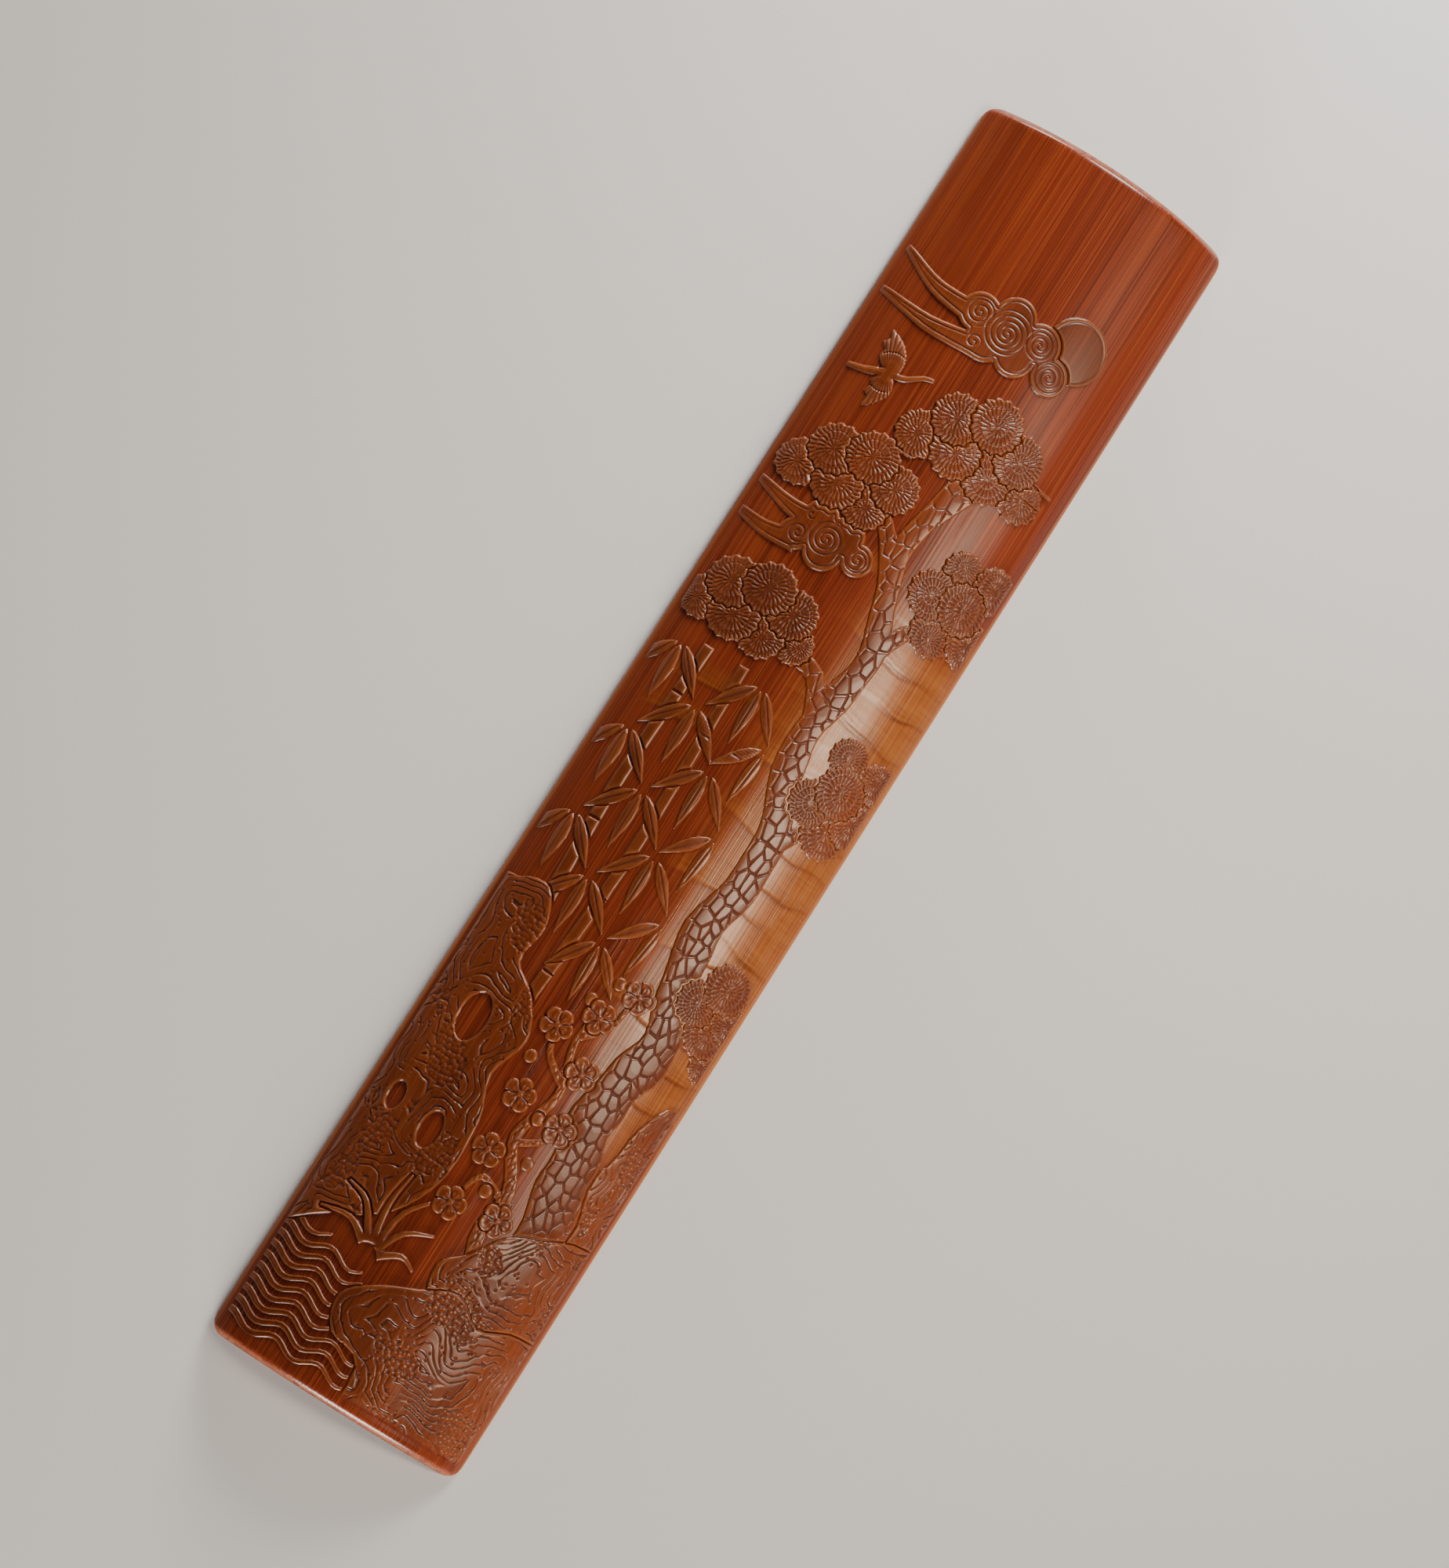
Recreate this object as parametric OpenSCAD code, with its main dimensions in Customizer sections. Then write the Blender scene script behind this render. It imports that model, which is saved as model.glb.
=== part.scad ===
// Carved bamboo wrist rest: an arched length of culm that lies on its two planed long edges.
// The hard outer skin is left standing as a picture in low relief, and cut away to bare fibre round it.
// X runs across the rest, Y along the culm towards the top of the picture, and Z up from the table.

/* [Blank] */
// Length along the culm
rest_length = 266; // [220:1:320]
// Width across the two long edges
rest_width = 52.4; // [48:0.2:60]
// Rise of the bare outer face from its long edges to the crown
arch_rise = 11; // [8:0.5:14]
// Height of the upright band along each long edge
edge_height = 1.2; // [0.8:0.1:2]
// Thickness of the fibre wall
wall_thickness = 4.8; // [3.5:0.1:7]
// Radius of the four corners, seen from above
corner_radius = 3; // [1:0.5:6]
// Radius of the rounded rims at the two ends
rim_radius = 1.4; // [0.4:0.1:1.7]
// Width of the softened arris along each long edge
arris_width = 0.6; // [0.2:0.1:0.7]

/* [Pith lining] */
// Thickness of the pith on the hollow back
pith_thickness = 0.7; // [0.4:0.1:1.2]
// Bare strip between the pith and each end
pith_setback = 1.5; // [0.5:0.5:5]
// Height of the pith's long edges above the table
pith_clearance = 0.4; // [0.2:0.1:1]

/* [Carved skin] */
// Thickness of the skin left standing
skin_thickness = 0.5; // [0.3:0.1:1.2]
// Bare margin between the picture and each long edge
side_margin = 1; // [0.8:0.1:4]
// Bare margin between the picture and each end
end_margin = 2.5; // [2:0.5:10]
// Width of the cut between a motif and the one in front of it
cut_width = 0.5; // [0.3:0.1:0.8]

/* [Pine] */
// Width of the trunk at its foot
trunk_foot_width = 10; // [7:0.5:12]
// Width of the trunk at its top
trunk_top_width = 3.4; // [2:0.2:5]
// Width of a bough where it leaves the trunk
bough_width = 4; // [2.5:0.1:5]
// Width of a bough at its tip
bough_tip_width = 1.6; // [1:0.1:2.4]
// Radius of a round spray of needles
spray_radius = 5; // [4:0.1:6]

/* [Bamboo] */
// Width of a cane
cane_width = 2.3; // [1.4:0.1:3]
// Length of a leaf
leaf_length = 11; // [8:0.5:13]
// Width of a leaf
leaf_width = 2.2; // [1.6:0.1:3.2]

/* [Plum] */
// Width of the branch at its foot
branch_width = 3.2; // [2:0.1:4]
// Width of a twig at its tip
twig_width = 0.9; // [0.6:0.1:1.4]
// Radius of an open blossom
blossom_radius = 3.1; // [2.4:0.1:3.6]
// Radius of a bud
bud_radius = 1.2; // [0.8:0.1:1.6]

/* [Sky and water] */
// Radius of the moon
moon_radius = 6.2; // [4:0.2:8]
// Radius of the largest lobe of a cloud
lobe_radius = 4; // [3:0.1:5]
// Thickness of the trail behind a cloud
trail_width = 4.4; // [3:0.1:5]
// Thickness of a ripple on the water
ripple_width = 1.2; // [0.8:0.1:1.6]
// Width of an orchid leaf
blade_width = 1.5; // [1:0.1:2]
// Wing span of the crane
wing_span = 15; // [12:0.5:17]

/* [Hidden] */
$fn = 96;

fibre_colour = "#a4512b";
pith_colour = "#b98a55";
skin_colour = "#8f5a2b";

// The culm's own circle, which runs through both long edges and the crown of the bare face
half_width = rest_width / 2;
culm_radius = (half_width * half_width + arch_rise * arch_rise) / (2 * arch_rise);
axis_height = edge_height + arch_rise - culm_radius;
edge_slope = asin(half_width / culm_radius);
// Spare reach of the cutting shapes past what they cut
reach = 2 * culm_radius;

// The picture is drawn on a grid of squares that stretches with the blank
grid_across = 50;
grid_along = 258;
field_width = rest_width - 2 * side_margin;
field_length = rest_length - 2 * end_margin;
function at(p) = [p[0] * field_width / grid_across, p[1] * field_length / grid_along];
function all_at(points) = [for (p = points) at(p)];

// Curves through chosen points

function curve_point(a, b, c, d, t) =
    0.5 * (2 * b + (c - a) * t + (2 * a - 5 * b + 4 * c - d) * t * t
        + (3 * b - a - 3 * c + d) * t * t * t);

function closed_curve(p, steps) =
    let (n = len(p))
    [for (i = [0:n - 1], k = [0:steps - 1])
        curve_point(p[(i + n - 1) % n], p[i], p[(i + 1) % n], p[(i + 2) % n], k / steps)];

function open_curve(p, steps) =
    let (n = len(p))
    [for (i = [0:n - 2], k = [0:(i == n - 2 ? steps : steps - 1)])
        curve_point(p[max(i - 1, 0)], p[i], p[i + 1], p[min(i + 2, n - 1)], k / steps)];

function unit(v) = v / norm(v);
function left_of(v) = [-v[1], v[0]];
function along_path(path, i) = unit(path[min(i + 1, len(path) - 1)] - path[max(i - 1, 0)]);

// Turn of the wave that makes the knots, in degrees a step, on the left and the right edge
knot_turns = [57, 71];

// Outline of a strip that follows a path and tapers from one width to another.
// Knots make its edges swell and shrink by a share of its width.
function strip_outline(path, width_from, width_to, grow, knots = 0) =
    let (
        last = len(path) - 1,
        taper = [for (i = [0:last]) (width_from + (width_to - width_from) * i / last) / 2],
        left = [for (i = [0:last]) taper[i] * (1 + knots * sin(knot_turns[0] * i)) + grow],
        right = [for (i = [0:last]) taper[i] * (1 + knots * sin(knot_turns[1] * i)) + grow],
        tip = [for (i = [0:last]) (i == 0 ? -grow : i == last ? grow : 0) * along_path(path, i)],
        side = [for (i = [0:last]) left_of(along_path(path, i))]
    )
    concat(
        [for (i = [0:last]) path[i] + tip[i] - right[i] * side[i]],
        [for (i = [last:-1:0]) path[i] + tip[i] + left[i] * side[i]]);

// A closed outline, run anticlockwise, moved outwards
function outset(outline, grow) =
    let (n = len(outline))
    [for (i = [0:n - 1])
        outline[i] - grow * left_of(unit(outline[(i + 1) % n] - outline[(i + n - 1) % n]))];

// Where a leaf's width is set, as shares of its length, and how far its belly lies towards its stalk
leaf_stations = [0.06, 0.2, 0.4, 0.62, 0.82];
leaf_belly = 0.75;
// Length of a tuft's outer leaves beside its middle one
side_leaf_share = 0.88;

// Outline of a lens-shaped leaf that starts at its stalk and points along an angle
function leaf_outline(stalk, angle, length, width, grow) =
    let (
        ahead = [cos(angle), sin(angle)],
        full = length + 2 * grow,
        start = stalk - grow * ahead,
        half = [for (t = leaf_stations) (width / 2 + grow) * sin(180 * pow(t, leaf_belly))],
        last = len(leaf_stations) - 1
    )
    concat(
        [start],
        [for (i = [0:last]) start + full * leaf_stations[i] * ahead - half[i] * left_of(ahead)],
        [start + full * ahead],
        [for (i = [last:-1:0]) start + full * leaf_stations[i] * ahead + half[i] * left_of(ahead)]);

// The blank

module rounded_rectangle(width, length, radius) {
    square([width - 2 * radius, length], center = true);
    square([width, length - 2 * radius], center = true);
    for (x = [-1, 1], y = [-1, 1])
        translate([x * (width / 2 - radius), y * (length / 2 - radius)]) circle(radius);
}

// A whole ring of the culm, with its two rims rounded
module culm_ring(inner, outer, length, rim) {
    translate([0, 0, axis_height])
        rotate([-90, 0, 0])
            rotate_extrude()
                translate([(inner + outer) / 2, 0])
                    rounded_rectangle(outer - inner, length, rim);
}

// The upright outline of the blank, from the table up
module blank_outline() {
    linear_extrude(height = reach) rounded_rectangle(rest_width, rest_length, corner_radius);
}

// A long prism that takes the sharp arris off both long edges
module arris_cut() {
    side = [half_width, edge_height - arris_width];
    slope = [-cos(edge_slope), 1 + sin(edge_slope)];
    low = side - arris_width * slope;
    high = side + reach * slope / 2;
    rotate([90, 0, 0])
        linear_extrude(height = 2 * rest_length, center = true)
            polygon([
                [low[0], -reach], low, high,
                [-high[0], high[1]], [-low[0], low[1]], [-low[0], -reach]
            ]);
}

module culm_wall() {
    color(fibre_colour)
        intersection() {
            culm_ring(culm_radius - wall_thickness, culm_radius, rest_length, rim_radius);
            blank_outline();
            arris_cut();
        }
}

module pith_lining() {
    outer = culm_radius - wall_thickness;
    color(pith_colour)
        intersection() {
            translate([0, 0, axis_height])
                rotate([90, 0, 0])
                    difference() {
                        cylinder(r = outer, h = rest_length - 2 * pith_setback, center = true);
                        cylinder(r = outer - pith_thickness, h = rest_length, center = true);
                    }
            translate([-reach, -reach * 4, pith_clearance]) cube([2 * reach, reach * 8, reach]);
        }
}

// An island of skin on the culm's bare face.
// The first child is its flat outline, and the others lie in front of it and are cut away.
module skin() {
    color(skin_colour)
        intersection() {
            translate([0, 0, axis_height])
                rotate([90, 0, 0])
                    difference() {
                        cylinder(r = culm_radius + skin_thickness, h = rest_length, center = true);
                        cylinder(r = culm_radius, h = 2 * rest_length, center = true);
                    }
            linear_extrude(height = reach)
                intersection() {
                    square([field_width, field_length], center = true);
                    difference() {
                        children(0);
                        if ($children > 1) children([1:$children - 1]);
                    }
                }
        }
}

// Sky

module disc(centre, radius) {
    polygon([for (a = [0:15:345]) centre + radius * [cos(a), sin(a)]]);
}

// Each cloud: its middle on the grid, then its lobes and its trails, measured from there in lobe radii.
// A lobe's third number is its own radius.
upper_cloud = [
    [0, 94.5],
    [[2.3, -0.45, 0.9], [1.15, 0.5, 1], [-0.45, 0.9, 1], [-2, 0.3, 0.95], [0.4, -0.55, 1], [-1.1, -0.65, 1]],
    [[[-1.2, -1.1], [-3.8, -1.3], [-6.6, -0.7]], [[-2.1, 0.1], [-4.3, 0.4], [-6.3, 1.5]]]
];
middle_cloud = [
    [-9, 46],
    [[1.6, -0.15, 0.75], [0.6, 0.55, 0.85], [-0.8, 0.7, 0.8], [0.05, -0.6, 0.9], [-1.4, -0.5, 0.75],
        [-0.7, 0.05, 0.8]],
    [[[-1.2, -0.8], [-2.8, -0.95], [-4.6, -0.5]], [[-1, 0.35], [-2.5, 0.55], [-4.4, 1.2]]]
];

// Width of a strip's thin end beside its thick one, on trails, ripples and orchid leaves
thin_end = 0.25;

// A cloud is a head of round lobes, and trails that thin out behind it
module cloud(parts, grow = 0) {
    middle = at(parts[0]);
    for (l = parts[1])
        disc(middle + lobe_radius * [l[0], l[1]], lobe_radius * l[2] + grow);
    for (t = parts[2]) {
        line = open_curve([for (p = t) middle + lobe_radius * p], 5);
        polygon(strip_outline(line, trail_width, trail_width * thin_end, grow));
    }
}

module cloud_upper() {
    skin() {
        cloud(upper_cloud);
        sprays(crown_sprays, cut_width);
    }
}

module cloud_middle() {
    skin() {
        cloud(middle_cloud);
        sprays(upper_left_sprays, cut_width);
        sprays(left_sprays, cut_width);
        trunk(cut_width);
    }
}

moon_centre = [11, 99.5];

module moon_disc() {
    skin() {
        disc(at(moon_centre), moon_radius);
        cloud(upper_cloud, cut_width);
        sprays(crown_sprays, cut_width);
    }
}

// The crane's shapes are drawn for a wing span of one
crane_centre = [-16, 77.5];
crane_neck = [[0.52, 0.2], [0.4, 0.17], [0.22, 0.05], [0.08, 0.02]];
crane_legs = [[-0.12, -0.03], [-0.3, -0.08], [-0.46, -0.1]];
crane_body = [[0.12, 0.05], [0, 0.07], [-0.14, 0], [-0.22, -0.07], [-0.08, -0.07], [0.06, -0.05]];
crane_wing_up = [
    [0.1, 0.05], [0.1, 0.25], [-0.03, 0.42], [-0.22, 0.52], [-0.19, 0.41],
    [-0.24, 0.34], [-0.17, 0.26], [-0.19, 0.17], [-0.08, 0.05]
];
crane_wing_down = [
    [-0.05, -0.05], [-0.13, -0.14], [-0.09, -0.22], [-0.13, -0.3], [-0.06, -0.36],
    [-0.06, -0.48], [0.07, -0.37], [0.15, -0.2], [0.09, -0.03]
];
crane_neck_width = 0.075;
crane_leg_width = 0.05;

function crane_at(points) = [for (p = points) at(crane_centre) + wing_span * p];

module crane() {
    for (outline = [crane_body, crane_wing_up, crane_wing_down])
        polygon(closed_curve(crane_at(outline), 3));
    polygon(strip_outline(open_curve(crane_at(crane_neck), 4),
        wing_span * crane_neck_width / 2, wing_span * crane_neck_width, 0));
    polygon(strip_outline(open_curve(crane_at(crane_legs), 4),
        wing_span * crane_leg_width * 2, wing_span * crane_leg_width, 0));
}

module flying_crane() {
    skin() {
        crane();
        cloud(upper_cloud, cut_width);
        sprays(crown_sprays, cut_width);
        sprays(upper_left_sprays, cut_width);
    }
}

// Pine

trunk_path = [
    [16, -94], [13.6, -78], [11.6, -62], [14.6, -46], [10, -28],
    [12, -8], [6.4, 12], [9, 32], [3.4, 50], [6, 68]
];
bough_paths = [
    [[13, -40], [17, -36], [21, -37]],
    [[11, -9], [15, -2], [20, 3]],
    [[7, 15], [2, 24], [-6, 25], [-14, 29]],
    [[8.4, 31], [12, 39], [18, 45]],
    [[4.6, 45], [-2, 54], [-11, 58]],
    [[5, 60], [9, 67], [14, 72]]
];
// Share of the trunk's width by which its knots swell
trunk_knots = 0.1;

module trunk(grow = 0) {
    polygon(strip_outline(
        open_curve(all_at(trunk_path), 8), trunk_foot_width, trunk_top_width, grow, trunk_knots));
    for (b = bough_paths)
        polygon(strip_outline(open_curve(all_at(b), 4), bough_width, bough_tip_width, grow));
}

// Each group of round sprays: its middle on the grid, then each spray's place and radius in spray radii
crown_sprays = [
    [6, 75],
    [[0, 1, 1.04], [-1.4, 0.4, 1], [1.4, 0.4, 1.04], [-0.8, -0.7, 1], [0.7, -0.8, 1], [2.2, -0.7, 0.92],
        [-2.3, -0.8, 0.92]]
];
upper_right_sprays = [
    [18, 48],
    [[0.2, 0.2, 1], [-1.1, 0, 0.96], [1.2, -0.7, 0.96], [-0.3, -1.1, 0.96], [0.9, 1.5, 0.9],
        [-0.5, 1.3, 0.84]]
];
upper_left_sprays = [
    [-11.5, 58.5],
    [[0.3, 0.9, 1], [-1, 0.5, 1], [1.6, 0.3, 0.92], [-0.3, -0.6, 0.96], [-1.8, -0.5, 0.92], [1, -0.8, 0.88]]
];
left_sprays = [
    [-13, 28.5],
    [[0, 0.9, 1], [-1.2, 0.5, 1], [1.2, 0.5, 0.96], [-0.6, -0.6, 0.96], [-1.8, -0.5, 0.88], [0.6, -0.7, 0.92],
        [1.8, -0.4, 0.76]]
];
right_sprays = [
    [19, 7.5],
    [[-0.2, 0.3, 1], [0.9, -0.4, 0.96], [-1, -0.6, 0.88], [0.1, -1.3, 0.96], [0.9, 1.2, 0.92],
        [-0.6, 1.5, 0.8]]
];
low_sprays = [
    [21, -37],
    [[-0.2, 1.1, 0.96], [0.7, 0.2, 0.92], [-0.9, 0.1, 0.88], [0, -0.7, 0.92], [0.8, -1.6, 0.84]]
];

// A spray is round, with its rim notched between the tips of the needles
spray_tips = 15;
// Depth of a notch as a share of the spray's radius
notch_depth = 0.09;
// Turn of a spray for each radius of its place, so that no two lie alike
spray_turn = 83;

module spray(group, i, grow = 0) {
    place = group[1][i];
    middle = at(group[0]) + spray_radius * [place[0], place[1]];
    radius = spray_radius * place[2] + grow;
    polygon([
        for (k = [0:2 * spray_tips - 1])
            let (a = k * 180 / spray_tips + spray_turn * place[0])
            middle + radius * (k % 2 == 0 ? 1 : 1 - notch_depth) * [cos(a), sin(a)]
    ]);
}

module sprays(group, grow = 0) {
    for (i = [0:len(group[1]) - 1]) spray(group, i, grow);
}

// Sprays overlap like tiles, and the first in the list lies in front
module tiled_sprays(group) {
    for (i = [0:len(group[1]) - 1])
        difference() {
            spray(group, i);
            for (j = [0:1:i - 1]) spray(group, j, cut_width);
        }
}

module pine_trunk() {
    skin() {
        trunk();
        sprays(crown_sprays, cut_width);
        sprays(upper_right_sprays, cut_width);
        sprays(upper_left_sprays, cut_width);
        sprays(left_sprays, cut_width);
        sprays(right_sprays, cut_width);
        sprays(low_sprays, cut_width);
        bank_rocks(cut_width);
        plum_wood(cut_width);
        blossoms(cut_width);
        buds(cut_width);
    }
}

module pine_crown() { skin() tiled_sprays(crown_sprays); }

module pine_spray_upper_right() {
    skin() {
        tiled_sprays(upper_right_sprays);
        sprays(crown_sprays, cut_width);
    }
}

module pine_spray_upper_left() {
    skin() {
        tiled_sprays(upper_left_sprays);
        sprays(crown_sprays, cut_width);
    }
}

module pine_spray_left() {
    skin() {
        tiled_sprays(left_sprays);
        sprays(upper_left_sprays, cut_width);
    }
}

module pine_spray_right() {
    skin() {
        tiled_sprays(right_sprays);
        sprays(upper_right_sprays, cut_width);
    }
}

module pine_spray_low() {
    skin() {
        tiled_sprays(low_sprays);
        sprays(right_sprays, cut_width);
    }
}

// Bamboo

cane_left_path = [[-16.4, -42], [-17.6, -12], [-16.6, 18.4]];
cane_right_path = [[-10.6, -58], [-8.6, -22], [-9.4, 18.4]];
// Joints of a cane, as shares of its length
cane_joints = [0.2, 0.42, 0.62, 0.82];
// Width of a cane at its top beside its foot
cane_taper = 0.8;

// Each tuft: its place on the grid, and the angles of its leaves
high_tufts = [
    [[-21, 17.6], [232, 270, 308]], [[-4.6, 17.6], [230, 270, 306]], [[-12.8, 8.6], [228, 270, 312]],
    [[2.2, 8.4], [226, 264]], [[-21, -0.4], [232, 270, 310]], [[-4.6, -0.4], [228, 270, 310]]
];
low_tufts = [
    [[-12.8, -9.4], [228, 270, 312]], [[3.2, -9.8], [226, 264]], [[-21, -18.4], [234, 270, 308]],
    [[-4.6, -18.4], [228, 270, 312]], [[-12.8, -27.4], [232, 270, 312]], [[3.6, -27.8], [226, 262]],
    [[-4.6, -36.4], [234, 272, 310]]
];
// Distance from a tuft's own point to the stalks of its leaves
stalk_gap = 1.5;

module leaves(tufts, grow = 0) {
    for (tuft = tufts)
        for (i = [0:len(tuft[1]) - 1])
            polygon(leaf_outline(
                at(tuft[0]) + stalk_gap * [cos(tuft[1][i]), sin(tuft[1][i])],
                tuft[1][i], leaf_length * (i == 1 ? 1 : side_leaf_share), leaf_width, grow));
}

module cane(path) {
    spine = open_curve(all_at(path), 10);
    last = len(spine) - 1;
    difference() {
        polygon(strip_outline(spine, cane_width, cane_width * cane_taper, 0));
        for (j = cane_joints)
            let (i = round(j * last), turn = along_path(spine, i))
            translate(spine[i])
                rotate(atan2(turn[1], turn[0]))
                    square([cut_width, 2 * cane_width], center = true);
    }
}

// What stands in front of both canes
module before_canes() {
    leaves(high_tufts, cut_width);
    leaves(low_tufts, cut_width);
    sprays(left_sprays, cut_width);
    garden_rock_shape(cut_width);
    blossoms(cut_width);
    buds(cut_width);
}

module bamboo_cane_left() {
    skin() {
        cane(cane_left_path);
        before_canes();
    }
}

module bamboo_cane_right() {
    skin() {
        cane(cane_right_path);
        before_canes();
    }
}

module bamboo_leaves_high() {
    skin() {
        leaves(high_tufts);
        sprays(left_sprays, cut_width);
        trunk(cut_width);
    }
}

module bamboo_leaves_low() {
    skin() {
        leaves(low_tufts);
        leaves(high_tufts, cut_width);
        trunk(cut_width);
        garden_rock_shape(cut_width);
        plum_wood(cut_width);
        blossoms(cut_width);
        buds(cut_width);
    }
}

// Plum

branch_path = [[11, -104], [5, -93], [5.4, -83], [1, -74], [3.6, -64], [1, -54], [2.6, -46]];
twig_paths = [
    [[5, -85], [0, -83], [-2, -87]],
    [[1.6, -75], [6, -72], [7, -68]],
    [[3, -62], [-2, -58], [-3, -52]],
    [[1.4, -53], [5, -49], [6, -43]]
];
blossom_places = [
    [-2.6, -90], [6.4, -88.4], [7.2, -69], [-1.8, -78.6], [-2.4, -67.4],
    [5.2, -58.6], [-3.4, -53.4], [2.4, -48.4], [6.6, -41.6]
];
bud_places = [[1.8, -85], [5.6, -77], [2.8, -69.4], [-4.4, -60.6], [-0.6, -46.4], [2.4, -41.4]];

module plum_wood(grow = 0) {
    polygon(strip_outline(open_curve(all_at(branch_path), 5), branch_width, twig_width, grow));
    for (t = twig_paths)
        polygon(strip_outline(open_curve(all_at(t), 4), (branch_width + twig_width) / 3, twig_width, grow));
}

// Turn of a blossom for each square of its place
blossom_turn = 23;
// Depth of the notches between petals as a share of the radius, and how round the petals are
petal_notch = 0.26;
petal_roundness = 0.6;

// Five round petals, as one outline
module blossom(place, grow = 0) {
    polygon([
        for (a = [0:9:351])
            let (
                petal = 1 - petal_notch + petal_notch * pow(abs(cos(2.5 * a)), petal_roundness),
                turn = a + blossom_turn * place[0]
            )
            at(place) + (blossom_radius * petal + grow) * [cos(turn), sin(turn)]
    ]);
}

module blossoms(grow = 0) {
    for (p = blossom_places) blossom(p, grow);
}

module buds(grow = 0) {
    for (p = bud_places) disc(at(p), bud_radius + grow);
}

module plum_branch() {
    skin() {
        plum_wood();
        blossoms(cut_width);
        buds(cut_width);
        bank_rocks(cut_width);
    }
}

module plum_blossoms() { skin() blossoms(); }

module plum_buds() {
    skin() {
        buds();
        blossoms(cut_width);
    }
}

// Rocks, orchid and water

garden_rock_outline = [
    [-30, -104], [-19, -102.4], [-13, -99], [-8.4, -94], [-5.6, -86], [-6, -75], [-8.6, -67], [-6.4, -59],
    [-9.6, -52], [-15, -47.4], [-14.4, -40], [-17.5, -33.5], [-23, -34.5], [-30, -42]
];
// Each hollow worn through the rock: its place on the grid, and its half width and half height
garden_rock_hollows = [[[-16.6, -60], [2.7, 5]], [[-12.4, -81], [2, 3.8]], [[-20.6, -79], [1.5, 3]]];
bank_outlines = [
    [
        [30, -140], [30, -108], [22, -104], [14, -106.4], [8, -103], [1, -106], [-6, -109.4], [-10.4, -114],
        [-8, -120], [-1, -123], [2, -140]
    ],
    [
        [30, -118], [30, -88], [23, -84.6], [16, -87], [9.6, -90], [5.4, -96],
        [1.4, -100.4], [4, -108], [12, -116]
    ]
];
back_rock_outline = [
    [30, -102], [30, -60], [24, -54.6], [20, -61], [18.4, -70], [13, -77], [11, -86], [16, -98]
];
orchid_foot = [-9, -104];
orchid_blades = [
    [[0, 0], [2.6, 5], [7.4, 7.4]], [[-0.6, 0.6], [0.6, 8], [4.6, 13]],
    [[-1.4, 0.6], [-2.4, 8], [-1.6, 14.6]], [[-2.2, 0.4], [-6, 6.4], [-10.4, 8]],
    [[-2.8, 0], [-7, 2.6], [-12.4, 1.6]], [[0.6, -0.8], [4.4, 1.4], [7.4, 0.2]]
];
// Each ripple: its height on the grid, and where it starts and ends
ripples = [
    [-106.4, -26, -17], [-108.7, -26, -9], [-111, -26, -8], [-113.3, -26, -6], [-115.6, -26, -6],
    [-117.9, -26, -6], [-120.2, -26, -4], [-122.5, -26, 0], [-124.8, -26, 3], [-127.1, -26, 3]
];
// Height of a ripple's wave, its length and the step between its points, on the grid
ripple_swell = 0.9;
ripple_pitch = 9;
ripple_step = 1;

module orchid(grow = 0) {
    for (b = orchid_blades)
        polygon(strip_outline(
            open_curve([for (p = b) at(orchid_foot + p)], 4),
            blade_width, blade_width * thin_end, grow));
}

module garden_rock_shape(grow = 0) {
    polygon(outset(closed_curve(all_at(garden_rock_outline), 4), grow));
}

module bank_rock(i, grow = 0) {
    polygon(outset(closed_curve(all_at(bank_outlines[i]), 4), grow));
}

module bank_rocks(grow = 0) {
    for (i = [0:len(bank_outlines) - 1]) bank_rock(i, grow);
}

module garden_rock() {
    skin() {
        garden_rock_shape();
        for (h = garden_rock_hollows)
            polygon([for (a = [0:20:340]) at(h[0]) + [h[1][0] * cos(a), h[1][1] * sin(a)]]);
        orchid(cut_width);
        plum_wood(cut_width);
        blossoms(cut_width);
        buds(cut_width);
    }
}

// The first rock in the list lies in front
module tiled_bank_rocks() {
    for (i = [0:len(bank_outlines) - 1])
        difference() {
            bank_rock(i);
            for (j = [0:1:i - 1]) bank_rock(j, cut_width);
        }
}

module rock_bank() {
    skin() {
        tiled_bank_rocks();
        blossoms(cut_width);
        orchid(cut_width);
    }
}

module rock_behind_pine() {
    skin() {
        polygon(closed_curve(all_at(back_rock_outline), 4));
        trunk(cut_width);
        bank_rocks(cut_width);
        sprays(low_sprays, cut_width);
    }
}

module orchid_tuft() {
    skin() {
        orchid();
        blossoms(cut_width);
    }
}

// A ripple is a wavy strip that thins towards its far end
module ripple(height, start, end) {
    count = ceil((end - start) / ripple_step);
    line = [
        for (i = [0:count])
            let (x = start + (end - start) * i / count)
            at([x, height + ripple_swell * sin(360 * x / ripple_pitch)])
    ];
    polygon(strip_outline(line, ripple_width, ripple_width * thin_end, 0));
}

module water_ripples() {
    skin() {
        for (r = ripples) ripple(r[0], r[1], r[2]);
        garden_rock_shape(cut_width);
        bank_rocks(cut_width);
        orchid(cut_width);
    }
}

culm_wall();
pith_lining();
moon_disc();
cloud_upper();
cloud_middle();
flying_crane();
pine_trunk();
pine_crown();
pine_spray_upper_right();
pine_spray_upper_left();
pine_spray_left();
pine_spray_right();
pine_spray_low();
bamboo_cane_left();
bamboo_cane_right();
bamboo_leaves_high();
bamboo_leaves_low();
plum_branch();
plum_blossoms();
plum_buds();
garden_rock();
rock_bank();
rock_behind_pine();
orchid_tuft();
water_ripples();
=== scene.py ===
# %% [markdown]
# # A carved bamboo wrist rest
# A wrist rest is a length of bamboo culm that a writer lays over the paper to keep a sleeve off wet ink.
# The carver keeps the hard outer skin as a picture and cuts it away round it, down to the redder fibre.
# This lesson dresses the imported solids: it loads them as a fixed frame and never moves them.

# %% The frame and the tools
import math

import bmesh
import bpy
import numpy as np
from mathutils import Matrix, Vector


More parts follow.
